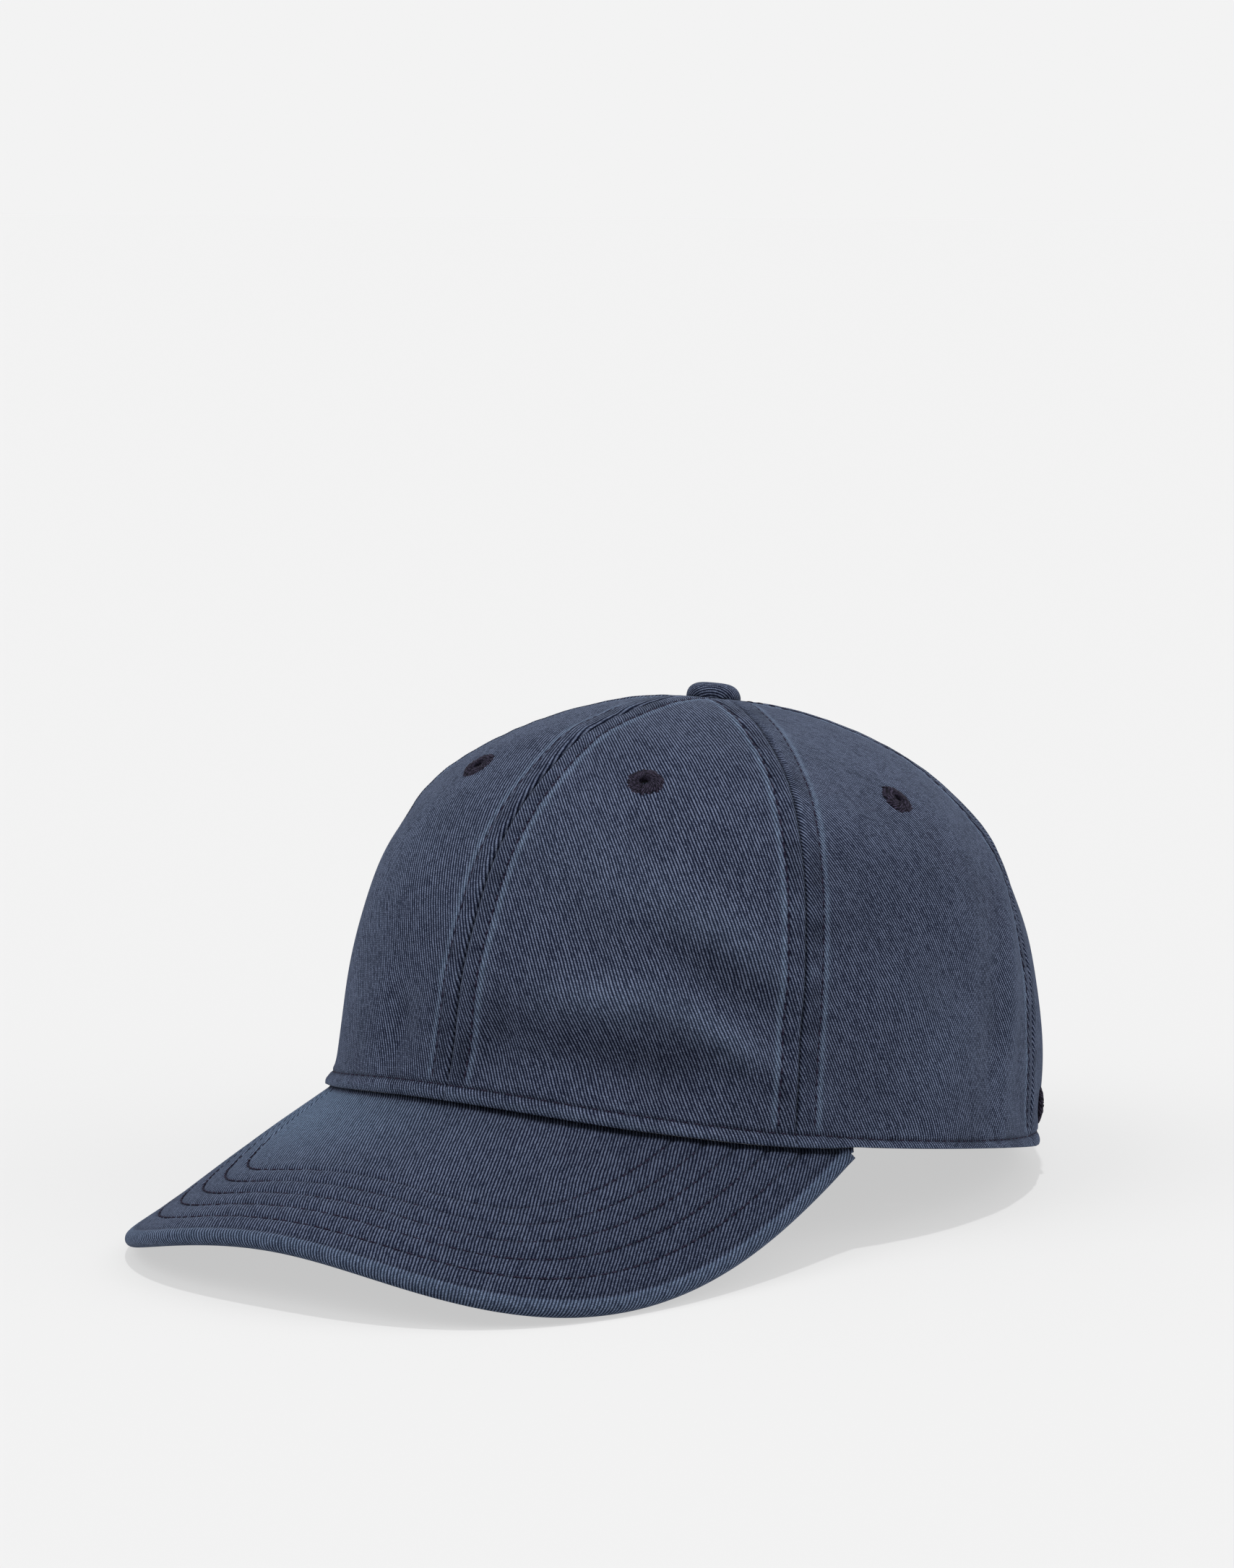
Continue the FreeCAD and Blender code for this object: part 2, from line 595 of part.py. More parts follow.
def build_buckle():
    frame = block(*FRAME_X, *FRAME_BACK, -WALL_OUT, WALL_OUT)
    for low, high in ((-WALL_OUT, -WALL_IN), (WALL_IN, WALL_OUT)):
        cheek = block(FRAME_X[0], CHEEK_TIP_X, FRAME_BACK[0], CHEEK_FRONT_Y, low, high,
                      CHEEK_ROUNDING)
        frame = frame.fuse(cheek)
    frame = softened(frame.removeSplitter(), EDGE_SOFTNESS)
    frame = frame.fuse(rod(BAR_X, BAR_Y, BAR_RADIUS, WALL_OUT - 0.2))
    frame = frame.cut(rod(PIN_X, PIN_Y, PIN_RADIUS, WALL_OUT + 1))

    pin = rod(PIN_X, PIN_Y, PIN_RADIUS, WALL_OUT)

    lip_half = CAM_HALF_HEIGHT - 3
    cam = rod(PIN_X, PIN_Y, CAM_BARREL_RADIUS, CAM_HALF_HEIGHT)
    cam = cam.fuse(block(PIN_X, CAM_TIP_X, *CAM_PLATE, -CAM_HALF_HEIGHT, CAM_HALF_HEIGHT))
    cam = cam.fuse(block(CAM_TIP_X - 1, CAM_TIP_X, CAM_PLATE[1] - 0.4, CAM_LIP_Y, -lip_half, lip_half))
    cam = softened(cam.removeSplitter(), CAM_SOFTNESS)
    cam = cam.cut(rod(PIN_X, PIN_Y, PIN_RADIUS + PIN_PLAY, CAM_HALF_HEIGHT + 1))

    loop = rod(BAR_X, BAR_Y, LOOP_WRAP, LOOP_HALF_HEIGHT)
    for name, shape in (("buckle_frame", frame), ("buckle_pin", pin), ("buckle_cam", cam)):
        shape.Placement = BUCKLE_PLACE
        add(name, shape)
    loop.Placement = BUCKLE_PLACE
    bar_angle = BUCKLE_ANGLE + math.degrees(BAR_X / STRAP_RADIUS)
    tail = ring_sector(STRAP_RADIUS + LOOP_TAIL[1], LOOP_TAIL[1] - LOOP_TAIL[0],
                       STRAP_MID - LOOP_HALF_HEIGHT, STRAP_MID + LOOP_HALF_HEIGHT, bar_angle,
                       ARCH_EDGE_ANGLE + LOOP_TAIL_END)
    loop = loop.fuse(tail)
    eye = rod(BAR_X, BAR_Y, BAR_RADIUS + LOOP_PLAY, LOOP_HALF_HEIGHT + 1)
    eye.Placement = BUCKLE_PLACE
    add("buckle_loop", loop.removeSplitter().cut(eye))


# ---- Standing pose ----
def stand_up():
    """Tilt the cap back on its rear rim, then put the middle of its footprint at the origin."""
    pivot = V(0, RIM_HALF_LENGTH, 0)
    tilt = FreeCAD.Placement(V(0, 0, 0), FreeCAD.Rotation(V(1, 0, 0), -REST_TILT), pivot)
    whole = FreeCAD.BoundBox()
    for name, shape in PIECES.items():
        shape.Placement = tilt.multiply(shape.Placement)
        whole.add(shape.optimalBoundingBox(False, False))
    middle = V((whole.XMin + whole.XMax) / 2, (whole.YMin + whole.YMax) / 2, whole.ZMin)
    shift = FreeCAD.Placement(middle * -1, FreeCAD.Rotation())
    for shape in PIECES.values():
        shape.Placement = shift.multiply(shape.Placement)
    print("size", round(whole.XLength, 2), round(whole.YLength, 2), round(whole.ZLength, 2))
    print("shift", middle * -1)
    return shift.multiply(tilt)


def report_axis(label, placement, point, direction):
    place = placement.multVec(point)
    axis = placement.Rotation.multVec(direction)
    print(label, "at", [round(c / 1000, 6) for c in place], "axis", [round(c, 6) for c in axis])


def main():
    build_panels()
    build_tapes()
    build_bands()
    build_visor()
    build_button()
    build_strap()
    build_facing()
    build_buckle()
    placement = stand_up()
    report_axis("strap axis", placement, V(0, STRAP_AXIS_Y, STRAP_MID), V(0, 0, -1))
    pin_point = BUCKLE_PLACE.multVec(V(PIN_X, PIN_Y, 0))
    report_axis("cam pin", placement, pin_point, V(0, 0, 1))
    report_axis("head opening", placement, V(0, 0, 0), V(0, 0, -1))
    os.makedirs("parts", exist_ok=True)
    for name, shape in PIECES.items():
        shape.exportStep(os.path.join("parts", name + ".step"))
    print(len(PIECES), "pieces")


main()
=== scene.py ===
"""Looks of the baseball cap: washed navy twill panels, a stitched visor, thread eyelets, a covered
button, and the strap and buckle behind.

Shapes are worked out in millimetres on the level cap, as in the CAD source: rim at z = 0, visor
towards -Y, wearer's left towards +X.  to_row() then stands them up in the row frame, in metres.
"""
import json
import math

import bpy
import numpy as np
from mathutils import Matrix, Vector


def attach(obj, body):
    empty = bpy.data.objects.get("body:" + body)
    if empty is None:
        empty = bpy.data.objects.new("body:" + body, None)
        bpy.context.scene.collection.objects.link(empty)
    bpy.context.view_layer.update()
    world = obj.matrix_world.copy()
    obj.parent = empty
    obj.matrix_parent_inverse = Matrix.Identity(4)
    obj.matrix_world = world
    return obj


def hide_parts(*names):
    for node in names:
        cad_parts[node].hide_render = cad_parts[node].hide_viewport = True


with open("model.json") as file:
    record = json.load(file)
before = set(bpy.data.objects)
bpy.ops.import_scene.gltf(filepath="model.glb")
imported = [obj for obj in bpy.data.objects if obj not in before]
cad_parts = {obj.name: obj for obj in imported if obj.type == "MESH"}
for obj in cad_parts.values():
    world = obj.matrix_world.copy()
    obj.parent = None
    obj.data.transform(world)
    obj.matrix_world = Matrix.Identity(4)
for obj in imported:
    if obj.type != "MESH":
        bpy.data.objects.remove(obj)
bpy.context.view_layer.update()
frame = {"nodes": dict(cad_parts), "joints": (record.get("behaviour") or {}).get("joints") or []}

# ---- The CAD's own dimensions, millimetres and degrees ----
RIM_HALF_LENGTH = 100.8
RIM_HALF_WIDTH = 84.3
RIM_END_RADIUS = 70.4
CROWN_HEIGHT = 104.5
APEX_Y = -5.0
FRONT_SEAM = 53.1
REAR_SEAM = 119.5
FABRIC = 1.0
PROFILE_RADIAL = (1.86, 1.96, 2.17)
PROFILE_HEIGHT = (3.05, 3.42, 2.15)
PROFILE_BULGE = (-0.016, -0.05, 0.035)
VISOR_LENGTH = 67.5
VISOR_BEND_RADIUS = 116.7
VISOR_FALL = math.radians(25.55)
VISOR_CORNER = 64.1
OUTLINE_ACROSS = 3.5
OUTLINE_FORWARD = 2.33
OUTLINE_FLARE = 0.076
VISOR_THICKNESS = 3.2
BOARD_THICKNESS = 1.8
VISOR_TUCK = 1.6
VISOR_GAP = 0.8
TAPE_HALF_WIDTH = 7.0
TAPE_THICKNESS = 0.6
LAYER_GAP = 0.05
BAND_HEIGHT = 31.0
BAND_BOTTOM = 2.8
BAND_THICKNESS = 1.0
LINING_THICKNESS = 0.6
BAND_GAP = 0.12
EYELET_LATITUDE = 43.3
VENT_EYELETS = {"front": 21.3, "side": 84.0, "back": 149.75}
EYELET_HOLE = 1.1
APEX_HOLE = 2.0
ARCH_HALF_WIDTH = 36.0
ARCH_HEIGHT = 46.0
ARCH_EXPONENT = 2.6
FACING_WIDTH = 9.0
STRAP_HEIGHT = 18.0
STRAP_THICKNESS = 1.2
STRAP_DEPTH = 4.0
STRAP_MID = 12.5
STRAP_FIT_X = 66.0
STRAP_TIGHTEN = 21.5
STRAP_LOOSEN = 14.0
STRAP_HIDDEN = 4.0
BUCKLE_ANGLE = 13.5
BAR_X, BAR_Y, BAR_RADIUS = 10.6, 2.3, 0.8
LOOP_HALF_HEIGHT = 8.8
TUCK_IN_ANGLE = 131.0
TUCK_IN_HEIGHT = 11.0
BUTTON_RADIUS = 6.8
BUTTON_HEIGHT = 3.8

# ---- Sewing ----
SEAMS = np.array([0, FRONT_SEAM, REAR_SEAM, 180, 360 - REAR_SEAM, 360 - FRONT_SEAM])
SEAM_NAMES = ["front_centre", "front_left", "rear_left", "rear_centre", "rear_right", "front_right"]
TOPSTITCH = 4.6                 # from the seam to the stitch lines beside it
HEM_STITCH = 4.4                # up from the lower edge
ARCH_STITCH = 6.0               # out from the rear opening's edge
VISOR_ROWS = [9.8, 15.7, 21.5, 27.3, 33.1]      # stitch rows, in from the visor's outline
STITCH_LENGTH = 2.3
STITCH_PITCH = 3.0
THREAD_THICKNESS = 0.42
PANEL_GRAIN = math.radians(27)  # lean of the twill on the panels
VISOR_GRAIN = math.radians(24)

MEAN_RIM_RADIUS = 85.0          # turns angles into rough distances round the lower edge
SIDES = (("left", 1), ("right", -1))
TABLE = np.random.default_rng(11).uniform(-1, 1, (64, 512))


# ---- Placing ----
END_CENTRE = RIM_HALF_LENGTH - RIM_END_RADIUS
SIDE_RADIUS = ((RIM_HALF_WIDTH ** 2 + END_CENTRE ** 2 - RIM_END_RADIUS ** 2)
               / (2 * (RIM_HALF_WIDTH - RIM_END_RADIUS)))
SIDE_CENTRE = SIDE_RADIUS - RIM_HALF_WIDTH
END_ARC_ANGLE = math.degrees(math.atan2(SIDE_CENTRE, END_CENTRE))


def smooth(x, low, high):
    """0 below low, 1 above high, and a smooth rise between."""
    t = np.clip((np.asarray(x, float) - low) / (high - low), 0, 1)
    return t * t * (3 - 2 * t)


def bell(x, centre, width):
    """1 at the centre, falling away to both sides over about the width."""
    return np.exp(-((x - centre) / width) ** 2)


def ripple(x, wavelength, row):
    """Smooth random values from -1 to 1 along x; row picks one of 64 different runs."""
    place = np.asarray(x, float) / wavelength
    low = np.floor(place).astype(int)
    t = place - low
    t = t * t * (3 - 2 * t)
    count = TABLE.shape[1]
    return TABLE[row, low % count] * (1 - t) + TABLE[row, (low + 1) % count] * t


def shoulder(distance, reach):
    """Fall of a rounded edge: 1 at the edge itself, and 0 from reach inwards."""
    return 1 - np.sqrt(1 - np.clip(1 - distance / reach, 0, 1) ** 2)


def unit(vectors):
    """The vectors, along the last axis, at length 1."""
    return vectors / np.linalg.norm(vectors, axis=-1, keepdims=True)


def run_of(line):
    """Distance along a line of points, from 0 at its start."""
    return np.concatenate([[0], np.cumsum(np.linalg.norm(np.diff(line, axis=0), axis=1))])


def at_run(places, run, values):
    """Rows of values, known at the distances in run, at other places along the line."""
    return np.stack([np.interp(places, run, column) for column in values.T], -1)


def cell_corners(grid):
    """The four corners of each cell of a grid, in order round the cell."""
    return grid[:-1, :-1], grid[1:, :-1], grid[1:, 1:], grid[:-1, 1:]


def swell(points, size, seed):
    """Smooth random unevenness in space, about -1 to 1, with swells about size apart."""
    rng = np.random.default_rng(seed)
    waves = 9
    total = 0
    for _ in range(waves):
        direction = unit(rng.normal(size=3))
        length = size * rng.uniform(0.7, 1.5)
        total = total + np.sin(points @ direction * 2 * np.pi / length + rng.uniform(0, 2 * np.pi))
    return total / math.sqrt(waves)


def off_front(theta):
    """Degrees from straight ahead, either way."""
    return np.abs((np.asarray(theta, float) + 180) % 360 - 180)


# ---- Head opening ----
def rim_radius(theta):
    """Distance in plan from the button's axis to the rim: two end arcs and two side arcs."""
    turn = np.radians(theta)
    dx, dy = np.sin(turn), -np.cos(turn)

    def reach(x, y, radius):
        along = dx * x + dy * (y - APEX_Y)
        return along + np.sqrt(np.maximum(along ** 2 - x ** 2 - (y - APEX_Y) ** 2 + radius ** 2, 0))

    def on_arc(radius, end):
        angle = np.arctan2(np.abs(radius * dx), end * (APEX_Y + radius * dy) - END_CENTRE)
        return np.degrees(angle) <= END_ARC_ANGLE

    front = reach(0, -END_CENTRE, RIM_END_RADIUS)
    rear = reach(0, END_CENTRE, RIM_END_RADIUS)
    side = reach(-np.where(dx >= 0, 1, -1) * SIDE_CENTRE, 0, SIDE_RADIUS)
    return np.where(on_arc(front, -1), front, np.where(on_arc(rear, 1), rear, side))


def rim_plan(theta, depth=0):
    """x and y of the rim, or of a line at a depth inside it."""
    reach = rim_radius(theta) - depth
    return reach * np.sin(np.radians(theta)), APEX_Y - reach * np.cos(np.radians(theta))


# ---- Visor surface ----
def bent(across, forward, depth=0.0):
    """Points of the visor from its flat pattern, at a depth below its top face."""
    turn = across / VISOR_BEND_RADIUS
    radius = VISOR_BEND_RADIUS - depth
    rise = radius * np.cos(turn) - VISOR_BEND_RADIUS
    y = -RIM_HALF_LENGTH - forward * math.cos(VISOR_FALL) - rise * math.sin(VISOR_FALL)
    z = VISOR_BASE - forward * math.sin(VISOR_FALL) + rise * math.cos(VISOR_FALL)
    return np.stack(np.broadcast_arrays(radius * np.sin(turn), y, z), -1)


def unbent(x, y):
    """The place in the visor's flat pattern of a point of its top face, seen from above."""
    across = VISOR_BEND_RADIUS * np.arcsin(np.clip(x / VISOR_BEND_RADIUS, -1, 1))
    drop = VISOR_BEND_RADIUS * (1 - np.cos(across / VISOR_BEND_RADIUS))
    return across, (-RIM_HALF_LENGTH - y + drop * math.sin(VISOR_FALL)) / math.cos(VISOR_FALL)


CORNER_X, CORNER_Y = rim_plan(VISOR_CORNER)
CORNER_DROP = VISOR_BEND_RADIUS - math.sqrt(VISOR_BEND_RADIUS ** 2 - CORNER_X ** 2)
VISOR_BASE = (CORNER_DROP / math.cos(VISOR_FALL)
              - math.tan(VISOR_FALL) * (RIM_HALF_LENGTH + CORNER_Y))
CORNER_ACROSS, CORNER_FORWARD = unbent(CORNER_X, CORNER_Y)


def rim_height(theta):
    """Height of the crown's lower edge: up on the visor in front, and level behind."""
    turn = off_front(theta)
    blend = 4.0
    near = np.minimum(turn, VISOR_CORNER + blend)
    top = bent(*unbent(*rim_plan(near)))[..., 2]
    return top * (1 - smooth(turn, VISOR_CORNER - blend, VISOR_CORNER + blend))


# ---- Crown surface ----
def by_direction(theta, values):
    """A value for each direction, from those straight ahead, at the sides and behind."""
    front, side, rear = values
    c = np.cos(np.radians(theta))
    return side + (np.where(c > 0, front, rear) - side) * c ** 2


def meridian(theta, latitude):
    """Radius from the button's axis, and height, of the crown's outer face."""
    s = np.maximum(0, np.sin(np.radians(latitude)))
    c = np.maximum(0, np.cos(np.radians(latitude)))
    up = s ** (2 / by_direction(theta, PROFILE_HEIGHT))
    across = c ** (2 / by_direction(theta, PROFILE_RADIAL))
    across = across * (1 + 1.5 * by_direction(theta, PROFILE_BULGE) * np.sin(np.pi * up) * (1 - up))
    low = rim_height(theta)
    return rim_radius(theta) * across, low + (CROWN_HEIGHT - low) * up


def latitude_at_height(theta, above_rim):
    """Latitude of the wall's point at this height above the lower edge."""
    share = np.maximum(0, above_rim) / (CROWN_HEIGHT - rim_height(theta))
    return np.degrees(np.arcsin(share ** (by_direction(theta, PROFILE_HEIGHT) / 2)))


def latitude_at_radius(theta, radius):
    """Latitude of the wall's point at this distance from the button's axis."""
    low, high = np.full(np.shape(theta), 45.0), np.full(np.shape(theta), 90.0)
    for _ in range(40):
        middle = (low + high) / 2
        outside = meridian(theta, middle)[0] > radius
        low, high = np.where(outside, middle, low), np.where(outside, high, middle)
    return low


FOLD_DEPTH = 45.0               # how far through the crown a fold is felt
# Folds of the soft crown: angle round, height up the wall, half-lengths along and across the
# fold, lean of the fold from upright, and how far the wall moves out
FOLDS = [
    (22, 29, 15, 5.5, 88, 2.8),
    (39, 25, 15, 5.0, 114, 3.0),
    (26, 16, 22, 5.5, 92, -2.6),
    (38, 48, 20, 6.5, 116, 2.0),
    (40, 37, 17, 5.0, 116, -1.8),
    (-11, 19, 9, 6, 0, -1.8),
    (7, 18, 8, 5, 0, -1.8),
    (-50, 22, 16, 40, 90, -2.2),
    (47, 14, 12, 6, 20, -0.7),
    (14, 60, 22, 12, 110, 0.9),
    (108, 40, 34, 6, 6, 1.2),
    (101, 38, 34, 7, 6, -1.0),
    (70, 60, 26, 16, 30, -0.9),
    (85, 25, 22, 9, 60, 0.9),
    (75, 38, 20, 9, 110, 0.8),
    (-25, 62, 30, 20, 60, 0.9),
    (150, 30, 22, 8, 20, 1.0),
    (-95, 35, 26, 10, 70, 1.2),
    (-120, 45, 22, 9, 30, -1.2),
    (-150, 28, 20, 8, -25, 1.0),
]


def about_axis(theta, radius, height):
    """Points round the button's axis, theta in degrees from straight ahead."""
    turn = np.radians(theta)
    return np.stack([radius * np.sin(turn), APEX_Y - radius * np.cos(turn), height], -1)


def plain_wall(theta, latitude):
    """A point of the crown's outer face without its folds."""
    return about_axis(theta, *meridian(theta, latitude))


def folded(points):
    """How far the folds move the wall outwards at points of the unfolded wall."""
    total = 0
    for angle, up, along, across, lean, out in FOLDS:
        place = latitude_at_height(angle, up)
        centre = plain_wall(angle, place)
        east = unit(plain_wall(angle + 0.5, place) - plain_wall(angle - 0.5, place))
        north = unit(plain_wall(angle, place + 0.5) - plain_wall(angle, place - 0.5))
        offset = points - centre
        e, n = offset @ east, offset @ north
        s, c = math.sin(math.radians(lean)), math.cos(math.radians(lean))
        through = offset @ np.cross(east, north)
        total = total + out * (bell(n * c + e * s, 0, along) * bell(e * c - n * s, 0, across)
                               * bell(through, 0, FOLD_DEPTH))
    return total


def broad(theta, radius, height):
    """How far the folds and the general unevenness move the wall outwards."""
    points = about_axis(theta, radius, height)
    total = 0.6 * swell(points, 70, 5) + 0.28 * swell(points, 28, 6) + folded(points)
    above = height - rim_height(theta)
    return total * smooth(above, 0, 10) * smooth(radius, 6, 30)


def crown(theta, latitude, lift=0.0):
    """A point of the crown, lift out from its outer face, folds included."""
    theta, latitude, lift = np.broadcast_arrays(np.asarray(theta, float), latitude, lift)
    step = 0.05
    latitude = np.clip(latitude, 2 * step, 90 - 2 * step)
    radius, height = meridian(theta, latitude)
    r0, z0 = meridian(theta, latitude - step)
    r1, z1 = meridian(theta, latitude + step)
    length = np.hypot(r1 - r0, z1 - z0)
    away = lift + broad(theta, radius, height)
    radius = radius + away * (z1 - z0) / length
    height = height - away * (r1 - r0) / length
    return about_axis(theta, radius, height)


def pointing(theta, latitude, start, end):
    """Directions through the crown's wall, from one lift to another."""
    return unit(crown(theta, latitude, end) - crown(theta, latitude, start))


def meridian_rows(theta, bottom, top_radius, close=0.4, spacing=0.75):
    """Latitudes at even steps up each meridian, with close rows near the lower edge.

    Returns the latitudes, the distance up from the lower edge and the distance down from the top.
    """
    low = latitude_at_height(theta, bottom)
    high = latitude_at_radius(theta, top_radius)
    fine = np.linspace(0, 1, 900) ** 3
    latitudes = low[:, None] + (high - low)[:, None] * fine
    radius, height = meridian(theta[:, None], latitudes)
    arc = np.cumsum(np.hypot(np.diff(radius, prepend=radius[:, :1]),
                             np.diff(height, prepend=height[:, :1])), axis=1)
    edge, longest = 8.0, 125
    rest = np.linspace(0, 1, int(longest / spacing))[1:]
    rows = []
    for column in range(len(theta)):
        total = arc[column, -1]
        wanted = np.concatenate([np.arange(0, edge + 1e-6, close), edge + (total - edge) * rest])
        rows.append(np.stack([np.interp(wanted, arc[column], latitudes[column]),
                              wanted, total - wanted]))
    return np.moveaxis(np.array(rows), 1, 0)


def one_meridian(theta, *limits):
    """meridian_rows of a single direction."""
    return meridian_rows(np.array([theta]), *limits)[:, 0]


# ---- Relief of the sewing on the crown ----
def seam_distance(theta, radius):
    """Distance to the nearest seam, and a number for the side of the seam."""
    offset = (np.asarray(theta)[..., None] - SEAMS + 180) % 360 - 180
    nearest = np.abs(offset).argmin(-1)
    value = np.take_along_axis(offset, nearest[..., None], -1)[..., 0]
    return np.radians(np.abs(value)) * radius, nearest * 2 + (value > 0)


def seam_relief(distance, along, row):
    """Height of the fabric beside a seam: ditch, welt between the stitch lines, groove, puckers."""
    welt = smooth(distance, 0, 1.5) * (1 - smooth(distance, 3.6, 6.4))
    shape = 0.42 * welt - 0.42 * np.exp(-distance / 0.4) - 0.24 * bell(distance, TOPSTITCH, 0.42)
    pucker = 0.6 * ripple(along + 0.5 * distance, 6.5, row) + 0.4 * ripple(along, 2.7, row + 12)
    pucker = pucker * smooth(distance, 0, 1.2) * np.exp(-(np.maximum(distance - 3, 0) / 4.5) ** 2)
    return shape, pucker


def hem_relief(up, along):
    """The rolled lower edge, the stitch line above it and the pulls of the stitches."""
    shape = -0.75 * shoulder(up, 1.0) + 0.6 * bell(up, 2.2, 1.4) - 0.5 * bell(up, HEM_STITCH, 0.45)
    pucker = 0.6 * ripple(along + 0.7 * up, 4.2, 30) + 0.4 * ripple(along - 0.5 * up, 9.0, 31)
    return shape, pucker * np.exp(-((up - 4.2) / 3.0) ** 2)


def arch_value(theta, latitude):
    """Below 1 inside the rear opening, above 1 outside."""
    point = plain_wall(theta, latitude)
    x = np.abs(point[..., 0]) / ARCH_HALF_WIDTH
    z = np.maximum(point[..., 2], 0) / ARCH_HEIGHT
    inside = (x ** ARCH_EXPONENT + z ** ARCH_EXPONENT) ** (1 / ARCH_EXPONENT)
    return np.where(point[..., 1] > 0, inside, 9.0)


def arch_gradient(theta, latitude, radius):
    """Change of arch_value per millimetre round and up."""
    step = 0.05
    climb = plain_wall(theta, latitude + step) - plain_wall(theta, latitude - step)
    up = np.linalg.norm(climb, axis=-1)
    d_up = (arch_value(theta, latitude + step) - arch_value(theta, latitude - step)) / up
    round_ = 2 * np.radians(step) * radius
    d_round = (arch_value(theta + step, latitude) - arch_value(theta - step, latitude)) / round_
    return d_round, d_up, up / (2 * step)


def crown_relief(theta, latitude, up, down):
    """Relief of the sewing on the crown's outer face, and where the cloth is light or dark."""
    radius = meridian(theta, latitude)[0]
    distance, row = seam_distance(theta, radius)
    near_top = smooth(radius, 3, 16)
    seam, seam_pucker = seam_relief(distance, down, row)
    around = np.radians(theta) * MEAN_RIM_RADIUS
    hem, hem_pucker = hem_relief(up, around)
    lower = smooth(up, 3.5, 7.5)
    lift = seam * (0.35 + 0.65 * near_top) * (0.45 + 0.55 * lower) + 0.22 * seam_pucker * near_top
    lift = lift + hem + 0.2 * hem_pucker
    # worn edges beside the seam, a darker welt, and painted shade in the seam's ditch and in the stitch
    # grooves
    wear = (0.2 * bell(distance, 0.9, 0.5) + 0.85 * bell(distance, TOPSTITCH + 1.1, 0.7)
            - 0.22 * (1 - smooth(distance, 3.6, 4.8))
            - 0.45 * bell(distance, 0, 0.35) - 0.5 * bell(distance, TOPSTITCH, 0.4))
    wear = wear * near_top * lower + 0.4 * seam_pucker * near_top
    # the worn hem roll, painted shade in the hem's stitch groove, and lighter and darker along its
    # puckers
    wear = wear + 0.25 * bell(up, 1.8, 1.0) - 0.6 * bell(up, HEM_STITCH, 0.35) + 0.3 * hem_pucker
    # painted shade along the lower edge over the visor, painted light on the folds' crests and painted
    # shade in their hollows
    wear = wear - 0.2 * (1 - smooth(up, 0.2, 1.0)) + 0.1 * folded(plain_wall(theta, latitude))
    if np.any(off_front(theta) > 140):
        d_round, d_up, _ = arch_gradient(theta, latitude, radius)
        from_arch = (arch_value(theta, latitude) - 1) / np.maximum(np.hypot(d_round, d_up), 1e-3)
        from_arch = np.maximum(np.where(off_front(theta) > 135, from_arch, 99), 0)
        lift = lift - 0.6 * shoulder(from_arch, 1.0) + 0.35 * bell(from_arch, 2.5, 2.0)
        lift = lift - 0.35 * bell(from_arch, ARCH_STITCH, 0.45)
        # the worn edge of the rear opening, and painted shade in its stitch groove
        wear = wear + 0.4 * bell(from_arch, 1.0, 1.0) - 0.6 * bell(from_arch, ARCH_STITCH, 0.4)
    return lift, wear


# ---- Standing the level cap up ----
REAR_X, REAR_Y = rim_plan(np.arange(180, 90, -0.01))
FIT_DROP = RIM_HALF_LENGTH - float(np.interp(STRAP_FIT_X, REAR_X, REAR_Y))
STRAP_CIRCLE = (STRAP_FIT_X ** 2 + FIT_DROP ** 2) / (2 * FIT_DROP)
STRAP_AXIS_Y = RIM_HALF_LENGTH - STRAP_CIRCLE
STRAP_OUTER = STRAP_CIRCLE - STRAP_DEPTH
STRAP_RADIUS = STRAP_OUTER - STRAP_THICKNESS / 2
ARCH_EDGE_ANGLE = math.degrees(math.asin(ARCH_HALF_WIDTH / STRAP_CIRCLE))

SLIDE = next(j for j in frame["joints"] if j["name"] == "strap_slide")
TILT = math.atan2(-SLIDE["axis"][1], -SLIDE["axis"][2])


def tilted(points):
    """Points of the level cap turned to the tilt it stands at."""
    x, y, z = np.moveaxis(np.asarray(points, float), -1, 0)
    c, s = math.cos(TILT), math.sin(TILT)
    return np.stack([x, y * c + z * s, z * c - y * s], -1)


ROW_SHIFT = np.array(SLIDE["pos_m"]) - tilted([0, STRAP_AXIS_Y, STRAP_MID]) / 1000


def to_row(points):
    """Points of the level cap, in millimetres, to the frame, in metres."""
    return tilted(points) / 1000 + ROW_SHIFT


# ---- Meshes ----
def make_piece(name, points, groups, cloth, wear, material, body, replaces=()):
    """A mesh from points on the level cap, in millimetres, and arrays of faces."""
    used, order = np.unique(np.concatenate([g.ravel() for g in groups]), return_inverse=True)
    points = to_row(np.asarray(points)[used])
    sizes = np.concatenate([np.full(len(g), g.shape[1]) for g in groups])
    starts = np.concatenate([[0], np.cumsum(sizes)[:-1]])
    mesh = bpy.data.meshes.new(name)
    mesh.vertices.add(len(points))
    mesh.vertices.foreach_set("co", points.astype(np.float32).ravel())
    mesh.loops.add(len(order))
    mesh.loops.foreach_set("vertex_index", order.astype(np.int32))
    mesh.polygons.add(len(sizes))
    mesh.polygons.foreach_set("loop_start", starts.astype(np.int32))
    mesh.update(calc_edges=True)
    # the cloth's pattern coordinates, and its wear together with painted highlights and painted shade
    for label, kind, key, values in (("cloth", "FLOAT_VECTOR", "vector", cloth),
                                     ("wear", "FLOAT", "value", wear)):
        if values is None:
            continue
        attribute = mesh.attributes.new(label, kind, "POINT")
        attribute.data.foreach_set(key, np.asarray(values, np.float32)[used].ravel())
    if mesh.validate():
        print("CHANGED BY VALIDATE", name)
    mesh.shade_smooth()
    piece = bpy.data.objects.new(name, mesh)
    bpy.context.scene.collection.objects.link(piece)
    mesh.materials.append(material)
    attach(piece, body)
    if replaces:
        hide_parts(*replaces)
    return piece


def turned(u, v, angle):
    """Flat pattern coordinates turned so that x runs across the twill lines and y along them."""
    c, s = math.cos(angle), math.sin(angle)
    return np.stack([u * c + v * s, v * c - u * s, 0 * u], -1)


